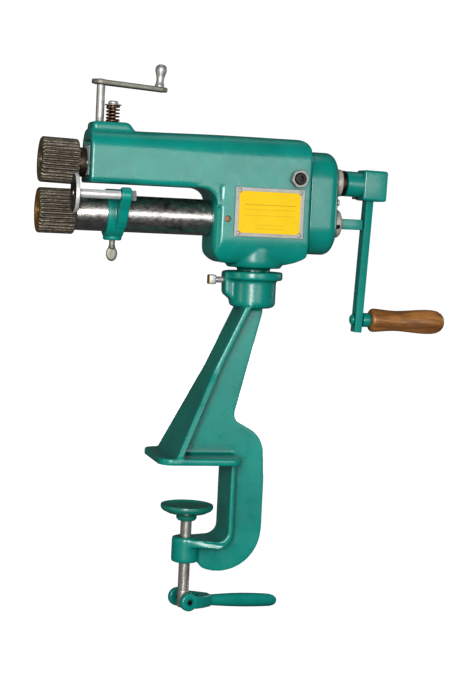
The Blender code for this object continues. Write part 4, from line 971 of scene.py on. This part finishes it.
knob = lathe("feed_knob", [(0, 24.4), (2.6, 24.1), (4.6, 22.7), (5.6, 20.6), (5.8, 18.6),
                           (5.3, 16.2), (4.5, 13.8), (4.0, 11.6), (3.75, 9.4), (3.8, 7.4),
                           (4.2, 5.4), (4.8, 3.6), (4.8, 2.6), (0, 2.6)], ZINC, (57.5, 0, 0),
             steps=64, r=[0, 1.5, 2, 2, 2, 2, 2, 2, 2, 2, 2, 0.5, 0.1, 0], world=FEED)
ride(knob, "adjusting_screw", "zinc_plate", "screw_knob")


# ====================================================================== ROLLS
def ribbed_roll(name, length, centre, bore, recess_r, recess_x, phase, world, face_mat, seed):
    """A roll with slightly wavy ribs, chamfered ends and a turned recess for its screw."""
    steps, rows_n = ROLL_TEETH * 10, 34
    x_front, x_back = centre - length / 2, centre + length / 2
    r_root = R_ROLL - ROLL_TOOTH

    def radius(a, x):
        wob = 0.10 * noise.noise(Vector((x * 0.11, seed, math.cos(a) * 2.5)))
        wob += 0.05 * noise.noise(Vector((x * 0.35, math.sin(a) * 5.0, seed + 7.0)))
        t = (a * ROLL_TEETH / (2 * math.pi) + wob) % 1.0
        d = abs(t - 0.5) * 2.0
        top = min(1.0, max(0.0, (d - 0.20) / 0.62))
        top = top * top * (3 - 2 * top)
        dent = 0.22 * noise.noise(Vector((x * 0.5, math.cos(a) * 14, math.sin(a) * 14 + seed)))
        return r_root + ROLL_TOOTH * (0.86 * top + dent * 0.25 * top)

    bm = bmesh.new()
    rows = []
    start = [(bore, x_front + 2.2 if recess_x else x_front)]
    stations = []
    for i in range(rows_n + 1):
        t = i / rows_n
        stations.append(x_front + 0.1 + (length - 0.2) * t)
    lead = [(bore, recess_x), (recess_r - 0.4, recess_x), (recess_r, recess_x - 0.4),
            (recess_r, x_front + 0.5), (recess_r + 0.5, x_front), (r_root - 1.6, x_front)]
    tail = [(r_root - 1.6, x_back), (bore + 0.5, x_back), (bore, x_back - 0.5)]
    kinds = []
    for rr, x in lead:
        rows.append([(rr, x)] * steps)
        kinds.append(1)
    for x in stations:
        edge = min(x - x_front, x_back - x)
        row = []
        for k in range(steps):
            a = 2 * math.pi * k / steps + phase
            limit = R_ROLL - max(0.0, 1.7 - edge) * 1.0
            row.append((min(radius(a - phase, x), limit), x))
        rows.append(row)
        kinds.append(0)
    for rr, x in tail:
        rows.append([(rr, x)] * steps)
        kinds.append(2)
    rings = []
    for row in rows:
        rings.append([bm.verts.new((x, r * math.cos(2 * math.pi * k / steps + phase),
                                    r * math.sin(2 * math.pi * k / steps + phase)))
                      for k, (r, x) in enumerate(row)])
    pairs = list(zip(rings, rings[1:], kinds, kinds[1:]))
    pairs.append((rings[-1], rings[0], 3, 3))
    for a, b, ka, kb in pairs:
        for k in range(steps):
            f = bm.faces.new((a[k], a[(k + 1) % steps], b[(k + 1) % steps], b[k]))
            f.material_index = 1 if (ka == 1 or ka >= 2 or kb == 2) else 0
    return finish_mesh(bm, name, [ROLL, face_mat], 50, world)


up_roll = ribbed_roll("ribbed_roll_upper", ROLL_LEN, X_ROLL - X_PIVOT, 7.25, 11.0,
                      -157.6 - X_PIVOT, math.radians(-90), UP, FACE_UP, 3.0)
ride(up_roll, "upper_shaft", "roll_steel", "upper_roll")
low_roll = ribbed_roll("ribbed_roll_lower", ROLL_LEN - 0.3, X_ROLL - 1.05, 9.25, 12.0, -158.2,
                       math.radians(90 + 180.0 / ROLL_TEETH), LOW, FACE_LOW, 11.0)
ride(low_roll, "lower_shaft", "roll_steel", "lower_roll")
for tag, rr, world, body, mat in (("upper", 9.0, UP @ Matrix.Translation((-92.0 - X_PIVOT, 0, 0)),
                                   "upper_shaft", FACE_UP),
                                  ("lower", 10.0, Matrix.Translation((-92.6, 0, Z_LOWER)),
                                   "lower_shaft", FACE_LOW)):
    sc = lathe("roll_screw_" + tag,
               [(0, 50.2), (2.5, 50.2), (2.5, 66.3), (rr, 66.3), (rr, 67.5), (4.7, 67.7),
                (4.7, 69.2), (0, 69.2)], mat, (0, 0, 0), (-1, 0, 0), 60,
               [0, 0.3, 0.2, 0.4, 0.5, 0.4, 0.5, 0], world=world)
    hexa = [(2.2 * math.cos(math.radians(60 * k)), 2.2 * math.sin(math.radians(60 * k)))
            for k in range(6)]
    cut(sc, prism("c", hexa, 4.0, world @ turn_to((-1, 0, 0)) @ plane_xy(69.4), BLACK))
    set_smooth(sc.data, 35)
    ride(sc, body, "roll_screw_steel", tag + "_roll_screw")

# =============================================================== UPPER SHAFT


def u(x):
    return x - X_PIVOT


tb = block("tilt_block_body", u(81.0), u(103.2), -12.6, 12.6, -13.5, 12.5, GEAR, 0.8, 3, UP)
cut(tb, rod("c", (u(75), 0, 0), (u(110), 0, 0), 10.3, BLACK, 64, world=UP),
    rod("c", (0, -16, 0), (0, -9.2, 0), 3.7, BLACK, 32, world=UP),
    rod("c", (0, 9.2, 0), (0, 16, 0), 3.7, BLACK, 32, world=UP))
set_smooth(tb.data, 35)
ride(tb, "tilt_block", "blackened_steel", "trunnion_block")
rb = lathe("rear_bush_ring", [(9.85, 0), (9.85, 21.6), (8.25, 21.6), (8.25, 0)], BRONZE,
           (u(81.3), 0, 0), (1, 0, 0), 64, 0.2, ring=True, world=UP)
ride(rb, "tilt_block", "bronze", "rear_bush")
us = lathe("upper_shaft_bar",
           [(0, u(185.0)), (8.0, u(185.0)), (8.0, u(-80.0)), (7.0, u(-81.0)), (7.0, u(-156.0)),
            (0, u(-156.0))], SHAFT, (0, 0, 0), (1, 0, 0), 72, 0.8, world=UP)
ride(us, "upper_shaft", "polished_steel", "upper_shaft")


def gear_mesh(name, bore, phase, world):
    """A straight gear with rounded flanks and chamfered teeth."""
    module, teeth = 2.05, 20
    r0, r1 = module * teeth / 2 - 2.5, module * teeth / 2 + 2.0
    loop = []
    step = 2 * math.pi / teeth
    for k in range(teeth):
        mid_a = phase + k * step
        for share, rr in ((-0.5, r0), (-0.36, r0), (-0.29, r0 + 0.9), (-0.235, (r0 + r1) / 2),
                          (-0.17, r1 - 0.9), (-0.12, r1), (0.12, r1), (0.17, r1 - 0.9),
                          (0.235, (r0 + r1) / 2), (0.29, r0 + 0.9), (0.36, r0)):
            a = mid_a + share * step
            loop.append((rr * math.cos(a), rr * math.sin(a)))
    g = prism(name, loop, 19.0, world @ plane_yz(0), GEAR, 0.0)
    cut(g, rod("c", (-15, 0, 0), (15, 0, 0), bore, BLACK, 64, world=world))
    set_smooth(g.data, 35)
    return g


ug = gear_mesh("gear_wheel_upper", 8.25, math.radians(-90), UP @ Matrix.Translation((u(118.0), 0, 0)))
ride(ug, "upper_shaft", "gear_steel", "upper_gear")
lg = gear_mesh("gear_wheel_lower", 9.25, math.radians(90 + 9.0),
               Matrix.Translation((118.0, 0, Z_LOWER)))
ride(lg, "lower_shaft", "gear_steel", "lower_gear")
tw = lathe("thrust_ring", [(14.2, 0), (14.2, 6.9), (7.35, 6.9), (7.35, 0)], WASHER,
           (u(-124.5), 0, 0), (1, 0, 0), 72, 0.5, ring=True, world=UP)
ride(tw, "upper_shaft", "roll_screw_steel", "thrust_washer")

cu = lathe("shaft_collar_upper", [(13.8, 0), (13.8, 6.6), (8.25, 6.6), (8.25, 0)], COLLAR,
           (u(136.3), 0, 0), (1, 0, 0), 84, [0.8, 1.0, 0.3, 0.3], ring=True, world=UP)
a = math.radians(-72)
cdir = Vector((0, math.cos(a), math.sin(a)))
c0 = Vector((u(139.6), 0, 0))
cut(cu, rod("c", c0 + cdir * 6, c0 + cdir * 20, 2.05, BLACK, 32, world=UP))
set_smooth(cu.data, 35)
ride(cu, "upper_shaft", "collar_steel", "upper_collar")


def socket_screw(name, start, direction, r, length, world):
    """A set screw with a hexagon socket in its outer end."""
    s = lathe(name, [(0, 0), (r - 0.5, 0), (r, 0.5), (r, length), (0, length)], BLACK, start,
              direction, 36, 0.25, world=world)
    hexa = [(r * 0.55 * math.cos(math.radians(60 * k)), r * 0.55 * math.sin(math.radians(60 * k)))
            for k in range(6)]
    cut(s, prism("c", hexa, 2.4, world @ Matrix.Translation(Vector(start)
                                                            + Vector(direction) * length)
                 @ turn_to(direction), BLACK))
    set_smooth(s.data, 30)
    return s


sc = socket_screw("collar_screw_upper", c0 + cdir * 8.3, cdir, 1.8, 6.1, UP)
ride(sc, "upper_shaft", "blackened_steel", "upper_collar_screw")
sp = lathe("black_spacer", [(12.9, 0), (12.9, 4.2), (8.25, 4.2), (8.25, 0)], BLACK,
           (u(143.2), 0, 0), (1, 0, 0), 84, [0.7, 0.7, 0.2, 0.2], ring=True, world=UP)
ride(sp, "upper_shaft", "blackened_steel", "spacer_ring")

# crank: round hub, square end block and a flat bar, all under one coat of enamel
hub = lathe("crank_hub", [(0, u(168.0)), (12.7, u(168.0)), (12.7, u(148.6)), (11.8, u(147.7)),
                          (0, u(147.7))], GREEN, (0, 0, 0), (1, 0, 0), 96,
            [0, 0.2, 0.3, 0.3, 0], world=UP)
hub_block = block("crank_block", u(164.2), u(189.6), -13.5, 13.5, -15.6, 15.0, GREEN, 2.6, 4, UP)
lean = math.radians(0.8)
bar_top = Vector((u(174.4), 0, -10.0))
bar_len = 139.0
BAR = (UP @ Matrix.Translation(bar_top + Vector((-math.sin(lean), 0, -math.cos(lean))) * bar_len / 2)
       @ Matrix.Rotation(lean, 4, "Y"))
bar = block("crank_bar", -3.9, 3.9, -6.9, 6.9, -bar_len / 2, bar_len / 2, GREEN, 0.9, 3, BAR)
join(hub, hub_block, bar)
cut(hub, rod("c", (u(140), 0, 0), (u(186), 0, 0), 8.25, BLACK, 72, world=UP),
    rod("c", (u(159.5), 0, -20), (u(159.5), 0, -5), 2.6, BLACK, 32, world=UP))
x_grip = 174.4 - 136.4 * math.tan(lean) + 0.2
GRIP = (UP @ Matrix.Translation((u(x_grip), 0, -136.4)) @ Matrix.Rotation(math.radians(-TILT), 4, "Y"))
cut(hub, rod("c", (-10, 0, 0), (10, 0, 0), 3.8, BLACK, 48, world=GRIP))
mod = hub.modifiers.new("rims", "BEVEL")
mod.width = 0.35 * MM
mod.segments = 2
mod.limit_method = "ANGLE"
mod.angle_limit = math.radians(50)
mod.harden_normals = False
tidy(hub, 35)
evaluated_copy(hub)
set_smooth(hub.data, 35)
ride(hub, "upper_shaft", "enamel", "crank_arm")
hs = socket_screw("hub_socket_screw", Vector((u(159.5), 0, -8.3)), Vector((0, 0, -1)), 2.4, 6.6, UP)
ride(hs, "upper_shaft", "blackened_steel", "hub_set_screw")

spindle = lathe("grip_spindle",
                [(0, 84.0), (5.2, 84.0), (5.2, 82.0), (3.5, 82.0), (3.5, -4.6), (5.6, -4.6),
                 (5.4, -6.0), (3.8, -7.4), (0, -7.9)], GREEN_SMALL, (0, 0, 0), (1, 0, 0), 56,
                [0, 0.3, 0.2, 0.2, 0.2, 0.4, 0.8, 1.0, 0], world=GRIP)
ride(spindle, "upper_shaft", "polished_steel", "handle_spindle")
sc2 = lathe("grip_collar", [(7.2, 0), (7.2, 8.2), (3.75, 8.2), (3.75, 0)], GREEN_SMALL,
            (4.9, 0, 0), (1, 0, 0), 64, [0.8, 0.8, 0.2, 0.2], ring=True, world=GRIP)
ride(sc2, "upper_shaft", "enamel", "spindle_collar")

# ====================================================================== GRIP
grip = lathe("wood_grip",
             [(0, 94.0), (3.6, 93.6), (6.6, 92.4), (9.3, 89.9), (11.3, 86.2), (12.3, 81.0),
              (12.5, 74.0), (12.1, 65.0), (11.3, 56.0), (10.6, 47.5), (10.35, 41.0), (10.6, 34.0),
              (11.3, 26.0), (11.95, 19.0), (12.0, 16.4), (11.2, 14.4), (9.8, 13.5), (3.9, 13.5),
              (3.9, 81.2), (5.6, 81.2), (5.6, 85.2), (0, 85.2)], WOOD, (0, 0, 0), (1, 0, 0), 96,
             [0, 2, 3, 3, 3, 4, 5, 5, 5, 4, 4, 4, 4, 2, 1, 0.8, 0.8, 0.5, 0.1, 0.1, 0.1, 0],
             world=GRIP, arc_steps=4)
ride(grip, "grip", "turned_wood", "handle_grip")

# =============================================================== LOWER SHAFT
ls = lathe("lower_shaft_bar", [(0, 143.6), (9.0, 143.6), (9.0, -156.6), (0, -156.6)], SHAFT,
           (0, 0, Z_LOWER), (1, 0, 0), 72, 0.7)
cut(ls, rod("c", (127, 0, Z_LOWER), (150, 0, Z_LOWER), 4.3, BLACK, 40))
set_smooth(ls.data, 35)
ride(ls, "lower_shaft", "polished_steel", "lower_shaft")
for nm, ro, x0_, ln, slotted in (("sleeve_bush", 13.1, -122.0, 22.0, 0), ("case_bush", 12.1, 57.5, 46.0, 0)):
    bsh = lathe(nm + "_ring", [(ro, 0), (ro, ln), (9.25, ln), (9.25, 0)], BRONZE,
                (x0_, 0, Z_LOWER), (1, 0, 0), 64, 0.25, ring=True)
    ride(bsh, "head", "bronze", nm)
cl = lathe("shaft_collar_lower",
           [(9.8, 8.4), (12.4, 8.2), (13.9, 6.6), (14.4, 4.0), (14.4, 0.0), (9.3, 0.0),
            (9.3, 8.4)], COLLAR, (135.4, 0, Z_LOWER), (1, 0, 0), 84,
           [0.3, 1.5, 2, 2, 0.5, 0.3, 0.3], ring=True)
a = math.radians(-168)
ldir = Vector((0, math.cos(a), math.sin(a)))
l0 = Vector((139.0, 0, Z_LOWER))
cut(cl, rod("c", l0 + ldir * 6, l0 + ldir * 20, 2.45, BLACK, 32))
set_smooth(cl.data, 35)
ride(cl, "lower_shaft", "collar_steel", "lower_collar")
lsc = socket_screw("collar_screw_lower", l0 + ldir * 9.3, ldir, 2.2, 4.9, IDENT)
ride(lsc, "lower_shaft", "blackened_steel", "lower_collar_screw")
sq = block("square_bar", 144.2, 168.2, -5.3, 5.3, Z_LOWER - 5.3, Z_LOWER + 5.3, GREEN_SMALL, 0.8, 3)
join(sq, rod("c", (128.0, 0, Z_LOWER), (146.0, 0, Z_LOWER), 4.0, GREEN_SMALL, 40))
tidy(sq, 35)
ride(sq, "lower_shaft", "enamel", "adjusting_square")

# ====================================================================== GAUGE
GZ, GY = 258.7, -38.0
parts = [lathe("ring", [(0, 17.5), (23.6, 17.5), (23.6, 0), (0, 0)], GREEN, (-96.0, 0, Z_LOWER),
               (1, 0, 0), 96, [0, 1.4, 1.4, 0]),
         lathe("foot", [(0, 225.0), (9.6, 225.0), (9.2, 216.0), (8.0, 214.8), (0, 214.8)], GREEN,
               (-87.2, 0, 0), steps=64, r=[0, 0, 1.5, 1.0, 0])]
lug_loop = (arc(GY, GZ, 7.6, 7.6, 30, 215, 22)
            + [(-34.0, 244.0), (-27.6, 233.0), (-20.9, 226.4), (-13.3, 231.0), (-12.7, 250.2)])
parts.append(prism("lug", lug_loop, 9.6, plane_yz(-82.8), GREEN, 0.8, 2))
bracket = cast("gauge_carrier", parts, GREEN_SMALL, 0.6, 5)
cut(bracket, rod("c", (-110, 0, Z_LOWER), (-60, 0, Z_LOWER), 18.15, BLACK, 96),
    rod("c", (-95, GY, GZ), (-70, GY, GZ), 3.3, BLACK, 32),
    rod("c", (-87.2, 0, 205), (-87.2, 0, 232), 3.3, BLACK, 32))
set_smooth(bracket.data, 55)
ride(bracket, "gauge", "enamel", "gauge_bracket")
gr = lathe("gauge_bar", [(0, -74.0), (2.9, -74.0), (2.9, -88.2), (4.2, -88.2), (4.2, -129.4),
                         (2.4, -129.4), (2.4, -132.2), (0, -132.2)], BRIGHT, (0, GY, GZ),
           (1, 0, 0), 56, [0, 0.5, 0.1, 0.2, 0.4, 0.1, 0.3, 0])
ride(gr, "gauge", "polished_steel", "gauge_rod")
gd = lathe("gauge_plate", [(2.6, -129.7), (18.8, -129.7), (18.8, -133.4), (2.6, -133.4)],
           [BRIGHT, BLACK], (0, GY, GZ), (1, 0, 0), 112, [0.2, 0.6, 0.6, 0.2], ring=True,
           faces=lambda p: 1 if p[1] < -133.2 and p[0] < 17.6 else 0)
ride(gd, "gauge", "polished_steel", "gauge_disc")
hexa = [(5.6 * math.cos(math.radians(60 * k)), 5.6 * math.sin(math.radians(60 * k)))
        for k in range(6)]
gn = prism("gauge_nut", hexa, 4.2, plane_yz(-75.5) @ Matrix.Translation((GY, GZ, 0)), ZINC)
boolean(gn, "INTERSECT", lathe("c", [(0, -2.4), (5.0, -2.4), (5.7, -1.6), (5.7, 1.6), (5.0, 2.4),
                                     (0, 2.4)], ZINC, (-75.5, GY, GZ), (1, 0, 0), 48, 0))
cut(gn, rod("c", (-82, GY, GZ), (-70, GY, GZ), 3.15, BLACK, 32))
tidy(gn, 25)
ride(gn, "gauge", "zinc_plate", "gauge_rod_nut")

# spade-headed thumb screw
stem = lathe("t_stem", [(0, 222.6), (2.9, 222.6), (2.9, 209.6), (3.5, 209.0), (3.5, 207.6),
                        (2.3, 206.6), (0, 206.0)], ZINC, (-87.2, 0, 0), steps=40, r=0.4)
bm = bmesh.new()
bmesh.ops.create_uvsphere(bm, u_segments=32, v_segments=20, radius=1.0)
for v in bm.verts:
    x, y, z = v.co
    dish = 1.0 - 0.30 * max(0.0, 1.0 - (x * x + z * z) / 0.55)
    v.co = (5.7 * x, 2.1 * y * dish, 7.5 * z)
ear = finish_mesh(bm, "t_ear", DULL, world=Matrix.Translation((-87.2, 0, 201.7)))
thumb = cast("spade_screw", [stem, ear], DULL, 0.35, 3)
ride(thumb, "gauge_screw", "zinc_plate", "gauge_thumb_screw")

# =============================================================== STAGE, LIGHT


def flat_material(name, rgb, rough, glow=0.0):
    mat, tree, bsdf = new_material(name)
    bsdf.inputs["Base Color"].default_value = (*rgb, 1)
    bsdf.inputs["Roughness"].default_value = rough
    bsdf.inputs["Specular IOR Level"].default_value = 0.2
    if glow:
        bsdf.inputs["Emission Color"].default_value = (1, 1, 1, 1)
        bsdf.inputs["Emission Strength"].default_value = glow
    return mat


PALE = flat_material("pale_floor", (0.55, 0.55, 0.55), 0.9, 0.90)
FLOOR_Z = -0.1605
bm = bmesh.new()
profile = [(-4.0, FLOOR_Z), (1.4, FLOOR_Z)]
profile += [(1.4 + 0.9 * math.sin(math.radians(t)), FLOOR_Z + 0.9 - 0.9 * math.cos(math.radians(t)))
            for t in range(6, 91, 6)]
profile += [(2.3, 4.0)]
rows = [[bm.verts.new((x, y, z)) for x in (-5.0, 5.0)] for y, z in profile]
for a, b in zip(rows, rows[1:]):
    bm.faces.new((a[0], a[1], b[1], b[0]))
mesh = bpy.data.meshes.new("pale_sweep")
bm.to_mesh(mesh)
bm.free()
mesh.materials.append(PALE)
mesh.shade_smooth()
sweep = bpy.data.objects.new("pale_sweep", mesh)
bpy.context.scene.collection.objects.link(sweep)
sweep.visible_glossy = False        # the pale room doesn't wash out the enamel
sweep.visible_diffuse = False

world = bpy.data.worlds.new("studio")
bpy.context.scene.world = world
world.use_nodes = True
wt = world.node_tree
bg = wt.nodes["Background"]          # what lights the object
bg.inputs["Color"].default_value = (0.92, 0.97, 1.0, 1)
bg.inputs["Strength"].default_value = 0.055
pale = wt.nodes.new("ShaderNodeBackground")      # what is seen behind it
pale.inputs["Color"].default_value = (1, 1, 1, 1)
pale.inputs["Strength"].default_value = 1.0
seen = wt.nodes.new("ShaderNodeLightPath")
both = wt.nodes.new("ShaderNodeMixShader")
wt.links.new(seen.outputs["Is Camera Ray"], both.inputs[0])
wt.links.new(bg.outputs[0], both.inputs[1])
wt.links.new(pale.outputs[0], both.inputs[2])
wt.links.new(both.outputs[0], wt.nodes["World Output"].inputs["Surface"])


def area(name, place, aim, size, power, colour=(1, 1, 1), size_y=None):
    light = bpy.data.lights.new(name, "AREA")
    light.energy = power
    light.color = colour
    light.shape = "RECTANGLE"
    light.size = size
    light.size_y = size_y or size
    obj = bpy.data.objects.new(name, light)
    obj.location = place
    obj.rotation_euler = (Vector(aim) - Vector(place)).to_track_quat("-Z", "Y").to_euler()
    obj.visible_camera = False
    bpy.context.scene.collection.objects.link(obj)
    return obj


area("key", (-0.64, -1.95, 0.38), (0.02, 0, 0.16), 0.40, 38, (1.0, 0.99, 0.97), 0.85)
area("panel", (0.72, -2.5, 0.41), (0.72, 0, 0.41), 1.25, 14.0, (1.0, 0.99, 0.98), 0.88)
area("left", (-1.65, -0.50, 0.30), (0, 0, 0.18), 0.30, 2.6, (1.0, 0.80, 0.52), 0.80)
area("top", (0.1, 0.25, 1.8), (0, 0, 0.1), 0.8, 1.6)
rear = area("rear", (0.4, 1.9, 0.14), (0, 0, 0.14), 1.0, 9, (1, 1, 1), 0.40)
rear.visible_glossy = False
area("right", (2.0, 0.5, 0.4), (0.1, 0, 0.15), 0.5, 4)

cam_data = bpy.data.cameras.new("camera")
cam_data.sensor_fit = "HORIZONTAL"
cam_data.sensor_width = 36.0
cam_data.lens = 36.0 * 1650.0 / 467.0
cam_data.clip_start = 0.05
cam_data.clip_end = 50.0
camera = bpy.data.objects.new("camera", cam_data)
right = Vector((0.96584, -0.25472, 0.04782))
top = Vector((-0.02515, 0.09148, 0.99549))
ahead = Vector((0.25795, 0.96268, -0.08194))
basis = Matrix((right, top, -ahead)).transposed().to_4x4()
camera.matrix_world = Matrix.Translation((-0.38512, -1.58842, 0.24570)) @ basis
bpy.context.scene.collection.objects.link(camera)
bpy.context.scene.camera = camera
bpy.context.scene.view_settings.view_transform = "Standard"
